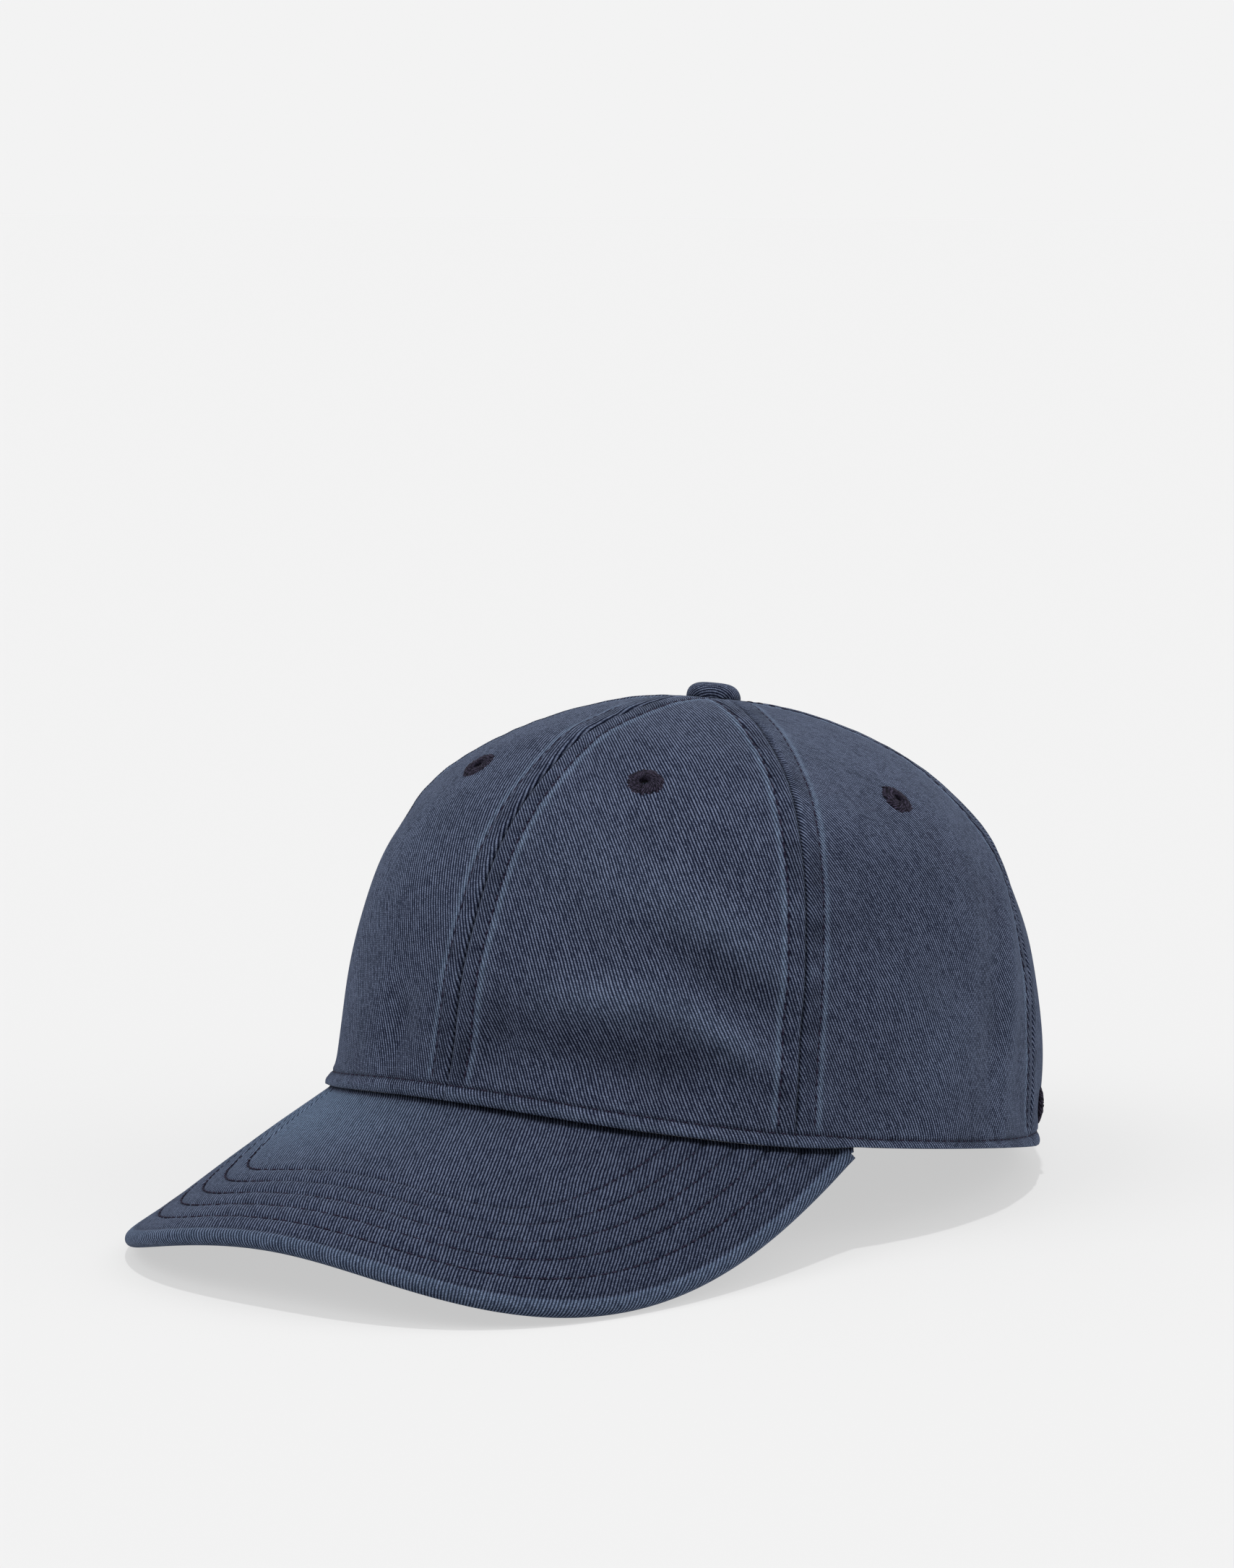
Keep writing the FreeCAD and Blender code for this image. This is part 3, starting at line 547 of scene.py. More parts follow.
def grid_faces(columns, rows, keep=None):
    """Quads of one grid, and the directed edges where a kept face has no kept neighbour."""
    a, b, c, d = cell_corners(np.arange(columns * rows).reshape(columns, rows))
    keep = np.ones((columns - 1, rows - 1), bool) if keep is None else keep
    quads = np.stack([a, b, c, d], -1)[keep]
    padded = np.pad(keep, 1)
    edges = []
    for start, end, shift in ((a, b, (1, 0)), (b, c, (2, 1)), (c, d, (1, 2)), (d, a, (0, 1))):
        beyond = padded[shift[0]:shift[0] + columns - 1, shift[1]:shift[1] + rows - 1]
        border = keep & ~beyond
        edges.append(np.stack([start[border], end[border]], -1))
    return quads, np.concatenate(edges)


def declare(u, keep):
    """Works out which grid points the kept faces use; the result is not kept."""
    used = np.full(u.shape, keep is None)
    if keep is not None:
        for corner in cell_corners(used):
            corner |= keep


def sewn(node, outer, inner, u, v, grain, wear, slot, rests_on=(), body="cap", held="stretched",
         keep=None, wear_in=0):
    """A closed sheet between two grids of points that stands in for a CAD node.

    u and v are its flat pattern, grain is the lean of its twill, and wear_in the wear and painted shade
    inside.
    """
    columns, rows = outer.shape[:2]
    quads, edges = grid_faces(columns, rows, keep)
    count = columns * rows
    sides = np.stack([edges[:, 1], edges[:, 0], edges[:, 0] + count, edges[:, 1] + count], -1)
    faces = np.concatenate([quads, quads[:, ::-1] + count, sides])
    points = np.concatenate([outer.reshape(-1, 3), inner.reshape(-1, 3)])
    cloth = np.tile(turned(u, v, grain).reshape(-1, 3), (2, 1))
    plain = np.zeros((columns, rows))
    wears_and_painted_light = np.concatenate([(plain + wear).ravel(), (plain + wear_in).ravel()])
    centre = np.cross(outer[1, 0] - outer[0, 0], outer[0, 1] - outer[0, 0])
    if centre @ (outer[0, 0] - inner[0, 0]) < 0:
        faces = faces[:, ::-1]
    piece = make_piece(node + "_cloth", points, [faces], cloth, wears_and_painted_light, CLOTHS[slot], body, [node])
    declare(u, keep)


def lined(node, theta, latitude, lifts, u, v, grain, wear, slot, rests_on=(), **more):
    """A sheet that follows the crown, between two lifts from its outer face."""
    outer, inner = (crown(theta, latitude, lift) for lift in lifts)
    sewn(node, outer, inner, u, v, grain, wear, slot, rests_on, **more)


def stitches(name, runs, body="cap", sink=0.1):
    """Rows of separate stitches. runs holds pairs of points along a line and directions out."""
    rng = np.random.default_rng(3)
    rings, sides = 7, 6
    a = np.linspace(-1, 1, rings)
    turn = np.arange(sides) * 2 * np.pi / sides
    swollen = np.sqrt(np.maximum(1 - np.abs(a) ** 2.6, 0.06))
    points, cloths = [], []
    for line, out in runs:
        run = run_of(line)
        centres = np.arange(STITCH_PITCH / 2, run[-1], STITCH_PITCH)
        if not len(centres):
            continue
        centres = centres + rng.uniform(-0.12, 0.12, len(centres)) * STITCH_PITCH
        halves = STITCH_LENGTH / 2 * rng.uniform(0.88, 1.08, len(centres))
        at, up = at_run(centres, run, line), at_run(centres, run, out)
        ahead = unit(at_run(centres + 0.8, run, line) - at_run(centres - 0.8, run, line))
        side = unit(np.cross(up, ahead))
        ahead = ahead + side * rng.uniform(-0.05, 0.05, (len(centres), 1))
        along = halves[:, None, None, None] * a[None, :, None, None] * ahead[:, None, None, :]
        radius = THREAD_THICKNESS / 2 * swollen[None, :, None, None]
        rise = (THREAD_THICKNESS * (0.35 - 0.75 * a ** 4) - sink)[None, :, None, None]
        round_ = (np.cos(turn)[None, None, :, None] * radius * side[:, None, None, :] * 1.1
                  + (np.sin(turn)[None, None, :, None] * radius * 0.85 + rise) * up[:, None, None, :])
        points.append((at[:, None, None, :] + along + round_).reshape(-1, 3))
        cloth = np.zeros((len(centres), rings, sides, 3))
        cloth[..., 0] = turn / (2 * np.pi)
        cloth[..., 1] = (centres[:, None] + halves[:, None] * a)[:, :, None]
        cloths.append(cloth.reshape(-1, 3))
    points, cloths = np.concatenate(points), np.concatenate(cloths)
    index = np.arange(rings * sides).reshape(rings, sides)
    onward = np.roll(index, -1, 1)
    quads = np.stack([index[:-1], onward[:-1], onward[1:], index[1:]], -1).reshape(-1, 4)
    caps = np.stack([index[0][::-1], index[-1]])
    shift = np.arange(0, len(points), rings * sides)[:, None, None]
    groups = [(quads + shift).reshape(-1, 4), (caps + shift).reshape(-1, sides)]
    make_piece(name, points, groups, cloths, None, SEWING, body)


def ring_piece(name, points, cloth, wear, slot, node):
    """A closed tube: a grid of points that wraps round in both directions."""
    index = np.arange(points.shape[0] * points.shape[1]).reshape(points.shape[:2])
    across, onward = np.roll(index, -1, 0), np.roll(index, -1, 1)
    faces = np.stack([index, across, np.roll(across, -1, 1), onward], -1).reshape(-1, 4)
    flat = points.reshape(-1, 3)
    corners = flat[faces] - flat.mean(0)
    volume = np.einsum("ij,ij->i", corners[:, 0], np.cross(corners[:, 1], corners[:, 2])).sum()
    if volume < 0:
        faces = faces[:, ::-1]
    return make_piece(name, flat, [faces], cloth.reshape(-1, 3), wear.ravel(), CLOTHS[slot], "cap",
                      [node])


# ---- Materials ----
def feed(tree, socket, value):
    if isinstance(value, bpy.types.NodeSocket):
        tree.links.new(value, socket)
    else:
        socket.default_value = value


def add_node(tree, kind, inputs, output=0, **settings):
    """Adds a shader node, feeds the inputs given by name or number, and returns one output."""
    node = tree.nodes.new("ShaderNode" + kind)
    for name, value in settings.items():
        setattr(node, name, value)
    for key, value in inputs.items():
        feed(tree, node.inputs[key], value)
    return node.outputs[output]


class Graph:
    """A material's node tree, written as sums."""

    def __init__(self, name):
        self.material = bpy.data.materials.new(name)
        self.material.use_nodes = True
        self.tree = self.material.node_tree
        self.shader = self.tree.nodes["Principled BSDF"]

    def set(self, **values):
        for name, value in values.items():
            feed(self.tree, self.shader.inputs[name.replace("_", " ")], value)

    def node(self, kind, inputs, output=0, **settings):
        return add_node(self.tree, kind, inputs, output, **settings)

    def attribute(self, name, output):
        return self.node("Attribute", {}, output, attribute_name=name)

    def math(self, operation, a, b=0.0, c=0.0, clamp=False):
        return self.node("Math", {0: a, 1: b, 2: c}, operation=operation, use_clamp=clamp)

    def times(self, a, b, plus=0.0, clamp=False):
        return self.math("MULTIPLY_ADD", a, b, plus, clamp)

    def join(self, x, y, z=0.0):
        return self.node("CombineXYZ", {0: x, 1: y, 2: z})

    def part(self, vector, axis):
        return self.node("SeparateXYZ", {0: vector}, axis)

    def noise(self, vector, scale, detail=2.0):
        return self.node("TexNoise", {"Vector": vector, "Scale": scale, "Detail": detail})

    def white(self, vector):
        return self.node("TexWhiteNoise", {"Vector": vector}, "Value")

    def mix(self, factor, a, b):
        return self.node("Mix", {0: factor, 6: a, 7: b}, 2, data_type="RGBA")

    def ramp(self, value, low, high, to_low=0.0, to_high=1.0):
        return self.node("MapRange", {0: value, 1: low, 2: high, 3: to_low, 4: to_high})

    def wave(self, value):
        """0 to 1 and back for every 1 that value grows."""
        return self.times(self.math("COSINE", self.times(value, 2 * math.pi)), 0.5, 0.5)

    def bump(self, height, distance, strength=1.0):
        self.set(Normal=self.node("Bump", {"Strength": strength, "Distance": distance,
                                           "Height": height}))


def rgb(*values):
    """A colour with full alpha."""
    return (*values, 1.0)


def twill(name, ridge, valley, worn_and_highlight, pitch=0.74, bead=0.6, relief=0.00012, fade=0.24):
    """Washed cotton twill: raised diagonal lines of short floats, faded unevenly."""
    g = Graph(name)
    cloth = g.attribute("cloth", "Vector")
    # above 0: worn places and painted highlights; below 0: mostly painted shade
    wear = g.attribute("wear", "Fac")
    # the twill lines wander a little, and each line's floats start at their own place
    drift = g.times(g.noise(cloth, 0.03), 3.0, g.times(g.noise(cloth, 0.3), 0.3))
    drift = g.times(g.noise(cloth, 1.5), 0.3, drift)
    across = g.times(g.part(cloth, "X"), 1 / pitch, drift)
    line = g.math("FLOOR", across)
    slant = g.times(across, 0.6, g.white(g.join(line, 0.5)))
    along = g.times(g.part(cloth, "Y"), 1 / bead, slant)
    single = g.white(g.join(line, g.math("FLOOR", along), 3.0))
    streak = g.noise(g.join(g.times(line, 5.37), g.times(along, 0.13)), 1.0, 1.0)
    profile = g.math("POWER", g.wave(g.math("SUBTRACT", across, 0.5)), 1.5)
    beads = g.times(g.wave(g.math("SUBTRACT", along, 0.5)), 0.42, 0.58)
    raised = g.times(profile, beads)
    tone = g.times(raised, g.times(single, 0.8, g.ramp(streak, 0.3, 0.7, 0.45, 1.0)))
    # worn places and painted highlights are lighter in patches, mostly on the raised lines, and painted
    # shade makes places darker
    darker = g.times(g.math("MINIMUM", wear, 0.0), -1.0, clamp=True)
    patchy = g.ramp(g.noise(cloth, 0.9), 0.35, 0.65, 0.5, 1.2)
    lighter = g.times(g.math("MAXIMUM", wear, 0.0), patchy, clamp=True)
    # the grooves between the twill lines take the valley colour, partly painted shade, and the crowns of
    # the floats take the ridge colour, partly a painted highlight
    colour = g.mix(tone, rgb(*valley), rgb(*ridge))
    colour = g.mix(g.times(lighter, g.times(raised, 0.7, 0.15)), colour, rgb(*worn_and_highlight))
    # the wash leaves broad patches and a fine unevenness
    bright = g.times(g.noise(cloth, 0.05, 3.0), 2 * fade, 1 - fade)
    bright = g.times(bright, g.ramp(g.noise(cloth, 5.0, 3.0), 0.3, 0.7, 0.55, 1.5))
    # painted shade darkens the colour here
    bright = g.times(bright, g.times(darker, -0.75, 1.0))
    colour = g.node("VectorMath", {0: colour, "Scale": bright}, operation="SCALE")
    g.set(Base_Color=colour, Roughness=0.9, Sheen_Weight=0.16, Sheen_Roughness=0.3,
          Sheen_Tint=rgb(0.55, 0.65, 0.85), Specular_IOR_Level=0.0)
    g.bump(g.times(g.noise(cloth, 4.0, 1.0), 0.3, raised), relief)
    return g.material


def thread(name, dark, light, pitch=0.5):
    """Plied sewing thread: a slanting twist and uneven colour."""
    g = Graph(name)
    cloth = g.attribute("cloth", "Vector")
    twist = g.wave(g.times(g.part(cloth, "Y"), 1 / pitch, g.part(cloth, "X")))
    uneven = g.ramp(g.noise(cloth, 0.8), 0.3, 0.7)
    g.set(Base_Color=g.mix(g.times(twist, uneven), rgb(*dark), rgb(*light)), Roughness=0.7,
          Sheen_Weight=0.0, Specular_IOR_Level=0.06)
    g.bump(twist, 0.00005)
    return g.material


def felt(name, dark, light):
    """Brushed cloth: short fibres lying in all directions."""
    g = Graph(name)
    cloth = g.attribute("cloth", "Vector")
    fibres = g.noise(cloth, 3.0, 6.0)
    tone = g.times(fibres, 0.7, g.times(g.noise(cloth, 0.3, 3.0), 0.4), clamp=True)
    g.set(Base_Color=g.mix(g.ramp(tone, 0.3, 0.75), rgb(*dark), rgb(*light)), Roughness=0.95,
          Sheen_Weight=0.4, Specular_IOR_Level=0.15)
    g.bump(fibres, 0.00018)
    return g.material


def metal(name, base, patina, rough):
    """Aged metal: dull patches, fine scratches and pits."""
    g = Graph(name)
    position = g.node("NewGeometry", {}, "Position")
    patches = g.ramp(g.noise(position, 420.0, 4.0), 0.38, 0.66)
    stretched = g.node("VectorMath", {0: position, 1: (400.0, 400.0, 9000.0)}, operation="MULTIPLY")
    lines = g.noise(stretched, 1.0, 3.0)
    g.set(Base_Color=g.mix(patches, rgb(*base), rgb(*patina)), Metallic=1.0,
          Roughness=g.times(patches, 0.22, g.times(lines, 0.16, rough)))
    g.bump(g.times(patches, -0.6, lines), 0.00004, 0.6)
    return g.material


def board(name):
    """Moulded plastic sheet with a fine matt grain."""
    g = Graph(name)
    grain = g.noise(g.node("NewGeometry", {}, "Position"), 1800.0, 4.0)
    g.set(Base_Color=g.mix(grain, rgb(0.62, 0.62, 0.6), rgb(0.74, 0.74, 0.72)), Roughness=0.55)
    g.bump(grain, 0.00004)
    return g.material


# the twill's tone on its raised lines and in its grooves: VALLEY is partly painted shade, and RIDGE is
# partly a painted highlight
RIDGE, VALLEY, WORN_AND_HIGHLIGHT = (0.098, 0.118, 0.176), (0.0020, 0.0030, 0.0100), (0.13, 0.18, 0.26)
CLOTHS = {
    "crown_twill": twill("crown_twill", RIDGE, VALLEY, WORN_AND_HIGHLIGHT),
    "visor_twill": twill("visor_twill", (0.084, 0.102, 0.154), VALLEY, (0.12, 0.175, 0.26),
                         fade=0.16),
    "strap_twill": twill("strap_twill", RIDGE, VALLEY, WORN_AND_HIGHLIGHT, fade=0.16),
    "sweatband_twill": twill("sweatband_twill", (0.10, 0.12, 0.175), (0.008, 0.011, 0.025), WORN_AND_HIGHLIGHT,
                             fade=0.2),
    "tape_cotton": twill("tape_cotton", (0.085, 0.1, 0.15), (0.012, 0.016, 0.032), WORN_AND_HIGHLIGHT, pitch=0.9,
                         bead=1.4, fade=0.15),
    "label_cloth": twill("label_cloth", (0.42, 0.43, 0.45), (0.2, 0.21, 0.24), (0.6, 0.6, 0.6),
                         pitch=0.34, bead=0.34, relief=0.00004, fade=0.06),
    "lining_felt": felt("lining_felt", (0.03, 0.035, 0.05), (0.11, 0.125, 0.16)),
    # the light tone on each strand's twist is partly a painted highlight
    "eyelet_thread": thread("eyelet_thread", (0.0012, 0.0010, 0.0035), (0.050, 0.042, 0.072), 0.9),
}
SEWING = thread("sewing_thread", (0.005, 0.004, 0.012), (0.03, 0.024, 0.046))
BRASS = metal("buckle_brass", (0.42, 0.32, 0.18), (0.16, 0.115, 0.065), 0.3)
STEEL = metal("button_metal", (0.5, 0.5, 0.5), (0.28, 0.28, 0.28), 0.34)
BOARD = board("visor_board")


# ---- Crown panels ----
PANELS = {"front": (0, FRONT_SEAM), "side": (FRONT_SEAM, REAR_SEAM), "back": (REAR_SEAM, 180)}
PANEL_COLUMNS = 141
INNER_SHARE = 0.12              # share of the outer relief that shows inside


def hem_lift(theta):
    """The lower edge stands clear of the visor in front."""
    return VISOR_GAP * (1 - smooth(np.abs(theta), 57, 66))


def tuck_in_eyelet():
    return TUCK_IN_ANGLE, latitude_at_height(TUCK_IN_ANGLE, TUCK_IN_HEIGHT)


def onto_arch(theta, latitude, which):
    """Moves the marked grid points out to the edge of the rear opening."""
    for _ in range(4):
        radius = meridian(theta, latitude)[0]
        d_round, d_up, per_degree = arch_gradient(theta, latitude, radius)
        need = (1 - arch_value(theta, latitude)) / np.maximum(d_round ** 2 + d_up ** 2, 1e-9)
        theta = np.where(which, theta + np.degrees(need * d_round / radius), theta)
        latitude = np.where(which, latitude + need * d_up / per_degree, latitude)
    return theta, latitude


def build_panel(name, side, sign):
    """One crown panel, with its eyelet holes and, behind, its half of the rear opening."""
    start, stop = PANELS[name]
    middle = sign * (start + stop) / 2
    t = np.linspace(-1, 1, PANEL_COLUMNS)
    t = 0.45 * t + 0.55 * np.sin(np.pi / 2 * t)         # columns closer together at the seams
    angles = middle + (stop - start) / 2 * t
    latitude, up, down = meridian_rows(angles, hem_lift(angles), APEX_HOLE)
    theta = angles[:, None] + 0 * latitude
    keep = np.ones([n - 1 for n in latitude.shape], bool)
    if name == "back":
        outside = arch_value(theta, latitude) >= 1
        keep = np.logical_or.reduce(cell_corners(outside))
        near = np.zeros(outside.shape, bool)
        for corner in cell_corners(near):
            corner |= keep
        theta, latitude = onto_arch(theta, latitude, near & ~outside)
    base = crown(theta, latitude)
    cells = (base[:-1, :-1] + base[1:, 1:]) / 2
    holes = [(sign * VENT_EYELETS[name], EYELET_LATITUDE)]
    if (name, side) == ("back", "left"):
        holes.append(tuck_in_eyelet())
    for hole in holes:
        keep &= np.linalg.norm(cells - crown(*hole), axis=-1) > 2 * EYELET_HOLE
    lift, wear = crown_relief(theta, latitude, up, down)
    across = np.radians(theta - middle) * meridian(theta, latitude)[0]
    lifts = lift, -FABRIC - INNER_SHARE * np.minimum(lift, 0)
    lined(name + "_panel_" + side, theta, latitude, lifts, across, -down, PANEL_GRAIN, wear,
          "crown_twill", ["sweatband"], keep=keep)


def crown_line(theta, up):
    """Latitude, and distance down from the top, at a distance up from the lower edge."""
    latitudes, ups, downs = meridian_rows(theta, hem_lift(theta), APEX_HOLE)
    return [np.array([np.interp(up, run, row) for run, row in zip(ups, rows)])
            for rows in (latitudes, downs)]


def crown_run(theta, latitude, up, down):
    """A line on the crown's sewn surface, with its directions out."""
    lift = crown_relief(theta, latitude, up, down)[0]
    return crown(theta, latitude, lift), pointing(theta, latitude, 0.0, 1.0)


def rear_point(x, z):
    """Direction and latitude of the rear wall's point at this x and height."""
    radius = 80.0
    for _ in range(31):
        theta = 180 - np.degrees(np.arcsin(np.clip(x / radius, -1, 1)))
        latitude = latitude_at_height(theta, z)
        radius = meridian(theta, latitude)[0]
    return theta, latitude


def arch_outline(margin, count):
    """x and height of the rear opening's outline, at a margin outside it."""
    t = np.radians(np.linspace(-90, 90, count))
    power = 2 / ARCH_EXPONENT
    x = (ARCH_HALF_WIDTH + margin) * (np.sign(t) * np.abs(np.sin(t)) ** power)[:, None]
    z = (ARCH_HEIGHT + margin) * (np.abs(np.cos(t)) ** power)[:, None]
    return x, z


UNDER_BUTTON = 7.5              # the seams' stitches end this far from the panels' tips
ABOVE_HEM = 5.5
ABOVE_ARCH = 8.5


def build_topstitching():
    for name, seam in zip(SEAM_NAMES, SEAMS):
        latitude, up, down = one_meridian(seam, hem_lift(seam), APEX_HOLE + UNDER_BUTTON)
        down = down + UNDER_BUTTON
        first = ABOVE_HEM
        if name == "rear_centre":
            first = float(np.interp(ARCH_HEIGHT + ABOVE_ARCH, meridian(seam, latitude)[1], up))
        latitude, up, down = (a[up > first] for a in (latitude, up, down))
        beside = np.degrees(TOPSTITCH / meridian(seam, latitude)[0])
        runs = [crown_run(seam + side * beside, latitude, up, down) for side in (-1, 1)]
        stitches("topstitch_" + name, runs)
    edge = 176 - np.degrees(np.arcsin((ARCH_HALF_WIDTH + 4.5) / RIM_HALF_LENGTH))
    theta = np.linspace(-edge, edge, 900)
    latitude, down = crown_line(theta, HEM_STITCH)
    up = np.full(len(theta), HEM_STITCH)
    stitches("topstitch_hem", [crown_run(theta, latitude, up, down)])
    x, z = (a[:, 0] for a in arch_outline(ARCH_STITCH, 200))
    theta, latitude = rear_point(x[z > 0.6], z[z > 0.6])
    far_up, far_down = np.full(len(theta), 20.0), np.full(len(theta), 60.0)
    stitches("topstitch_arch", [crown_run(theta, latitude, far_up, far_down)])


# ---- Thread eyelets ----
# one strand's way round the hole's edge: distance from the eyelet's axis, and height
EYELET_LOOP = np.array([(1.15, -0.5), (1.12, -0.05), (1.3, 0.36), (1.9, 0.56), (2.8, 0.52),
                        (3.7, 0.34), (4.3, 0.08), (4.5, -0.25), (4.4, -0.6), (4.1, -1.0),
                        (3.4, -1.3), (2.4, -1.45), (1.5, -1.3)])


STRAND_HALF = 0.21
WALL_BEND = 105.0               # rough radius of the wall under an eyelet


def build_eyelet(name, theta, latitude, seed):
    strands, fine, rows = 36, 8, 30
    rng = np.random.default_rng(seed)
    loop = np.vstack([EYELET_LOOP, EYELET_LOOP[:1]])
    run = run_of(loop)
    at = np.linspace(0, run[-1], rows, endpoint=False)
    r, n = at_run(at, run, loop).T
    r, n = (a * 0.5 + (np.roll(a, 1) + np.roll(a, -1)) * 0.25 for a in (r, n))
    tangent = unit(np.stack([np.roll(r, -1) - np.roll(r, 1), np.roll(n, -1) - np.roll(n, 1)], -1))
    side = np.stack([-tangent[:, 1], tangent[:, 0]], -1)
    if side[5] @ [0, 1] < 0:
        side = -side
    turn = np.arange(strands * fine) / (strands * fine)
    strand = np.floor(turn * strands).astype(int)
    phase = turn * strands - strand
    plump = rng.uniform(0.6, 1.3, strands)[strand]
    reach = rng.uniform(-0.4, 0.25, strands)[strand]
    lean = rng.uniform(-0.02, 0.02, strands)[strand]
    round_ = STRAND_HALF * plump * np.sqrt(np.maximum(np.sin(np.pi * phase), 0))
    radius = r + round_[:, None] * side[:, 0] + reach[:, None] * smooth(r, 2.8, 4.5)
    height = n + round_[:, None] * side[:, 1] - 0.08
    angle = 2 * np.pi * turn[:, None] + lean[:, None] * (r - 1)
    out = pointing(theta, latitude, 0.0, 1.0)
    upward = unit(crown(theta, latitude + 0.6) - crown(theta, latitude - 0.6))
    east = np.cross(upward, out)
    sag = -(radius ** 2) / (2 * WALL_BEND)
    points = (crown(theta, latitude) + (np.cos(angle) * radius)[..., None] * east
              + (np.sin(angle) * radius)[..., None] * upward + (height + sag)[..., None] * out)
    cloth = np.stack([turn[:, None] * strands + 0 * radius, at + 0 * angle, 0 * angle], -1)
    ring_piece(name + "_thread", points, cloth, 0 * angle, "eyelet_thread", name)


def build_eyelets():
    seed = 40
    for name, vent in VENT_EYELETS.items():
        for side, sign in SIDES:
            seed += 1
            build_eyelet("vent_eyelet_" + name + "_" + side, sign * vent, EYELET_LATITUDE, seed)
    build_eyelet("tuck_in_eyelet", *tuck_in_eyelet(), 39)


# ---- Inside of the crown ----
TAPE_INNER = -FABRIC - TAPE_THICKNESS
BIAS = math.radians(45)         # tapes are cut across the twill
SEAM_SPANS = np.diff(SEAMS, append=360)
TAPE_LIMITS = np.minimum(SEAM_SPANS, np.roll(SEAM_SPANS, 1)) / 2 - 0.6


def build_tapes():
    """A stitched tape over the inside of each seam."""
    for number, (name, seam) in enumerate(zip(SEAM_NAMES, SEAMS)):
        bottom = ARCH_HEIGHT + FACING_WIDTH + 1 if name == "rear_centre" else 1.6
        latitude, up, down = one_meridian(seam, bottom, APEX_HOLE + 1, 0.8, 1.1)
        radius = meridian(seam, latitude)[0]
        half = np.minimum(np.degrees(TAPE_HALF_WIDTH / radius), TAPE_LIMITS[number])
        t = np.linspace(-1, 1, 31)[:, None]
        theta = seam + t * half
        u = t * np.radians(half) * radius
        v = -down + 0 * u
        dip = 0.12 * bell(np.abs(u), TOPSTITCH, 0.5) + 0.06 * ripple(v, 3.0, 40 + number)
        edge = 0.12 * smooth(np.abs(t), 0.94, 1)
        lifts = -FABRIC - LAYER_GAP - edge, TAPE_INNER + dip + edge
        # painted shade in the stitch grooves on the tape's inner face
        lined("seam_tape_" + name, theta, latitude, lifts, u, v, BIAS, 0, "tape_cotton",
              wear_in=-0.4 * bell(np.abs(u), TOPSTITCH, 0.5))
        part = (up > 6.0) & (radius > 10)
        runs = []
        for side in (-1, 1):
            angle = seam + side * np.degrees(TOPSTITCH / radius[part])
            runs.append((crown(angle, latitude[part], TAPE_INNER),
                         pointing(angle, latitude[part], 0.0, -1.0)))
        stitches("tape_stitch_" + name, runs, sink=0.06)


CLEAR_OF_STRAP = 6.4


def band_depth(theta, latitude):
    """Depth of the sweatband's lining: near the wall in front, and clear of the strap behind."""
    near = FABRIC + TAPE_THICKNESS + 0.2
    behind = smooth(np.abs(theta), 84, 112)
    outward = np.maximum(broad(theta, *meridian(theta, latitude)), 0)
    return near + (CLEAR_OF_STRAP - near + outward) * behind


def band_grid(end, low, high, columns, rows, layers):
    """A band inside the rim: direction, latitude, height, distance round, and depth.

    layers is how much lies between the lining's outer face and the band's.
    """
    theta = np.linspace(-end, end, columns)[:, None] + np.zeros((1, rows))
    height = np.zeros((columns, 1)) + np.linspace(low, high, rows)
    around = np.concatenate([[0], np.cumsum(np.radians(np.diff(theta[:, 0]))
                                            * rim_radius((theta[1:, 0] + theta[:-1, 0]) / 2))])
    latitude = latitude_at_height(theta, height)
    u = around[:, None] - around[-1] / 2 + 0 * height
    return theta, latitude, height, u, band_depth(theta, latitude) + layers


BAND_END = 180 - math.degrees(math.atan2(ARCH_HALF_WIDTH + 0.5, RIM_HALF_LENGTH - 12 - APEX_Y))
BEFORE_BAND = LINING_THICKNESS + BAND_GAP
LABEL_THICKNESS = 0.4
BAND_STITCHES = (3.6, 2.8)      # up from the sweatband's lower edge, and down from its upper one


def build_lining():
    theta, latitude, height, u, depth = band_grid(BAND_END, BAND_BOTTOM, BAND_HEIGHT - 2, 361, 20, 0)
    lined("sweatband_lining", theta, latitude, (-depth, -depth - LINING_THICKNESS), u, height, 0.3,
          0, "lining_felt", ["sweatband_cloth"])


def build_sweatband():
    theta, latitude, height, u, depth = band_grid(BAND_END, BAND_BOTTOM, BAND_HEIGHT, 721, 60,
                                                  BEFORE_BAND)
    up, down = height - BAND_BOTTOM, BAND_HEIGHT - height
    low, high = BAND_STITCHES
    edge = np.minimum(up, down)
    rounded = 0.4 * shoulder(edge, 0.8)
    wave = 0.16 * ripple(u + 0.3 * height, 11, 50) + 0.08 * ripple(u - 0.4 * height, 4.5, 51)
    wave = wave * smooth(up, 0, 5) * smooth(down, 0, 3)
    groove = 0.3 * bell(up, low, 0.4) + 0.3 * bell(down, high, 0.4)
    inner_lift = -depth - BAND_THICKNESS + rounded + groove - np.minimum(wave, 0.0)
    # worn edges, and painted shade in the stitch grooves
    wear_in = 0.4 * bell(edge, 0.6, 0.7) - 0.6 * bell(up, low, 0.4) - 0.6 * bell(down, high, 0.4)
    lined("sweatband", theta, latitude, (-depth - rounded * 0.4, inner_lift), u, height, 0.75, 0,
          "sweatband_twill", ["sweatband_lining_cloth"], wear_in=wear_in)
    runs = []
    for level in (BAND_BOTTOM + low, BAND_HEIGHT - high):
        angle = np.linspace(-BAND_END + 0.6, BAND_END - 0.6, 900)
        latitude = latitude_at_height(angle, level)
        lift = -band_depth(angle, latitude) - BEFORE_BAND - BAND_THICKNESS
        runs.append((crown(angle, latitude, lift + 0.2), pointing(angle, latitude, lift, lift - 1)))
    stitches("sweatband_stitch", runs, sink=0.0)


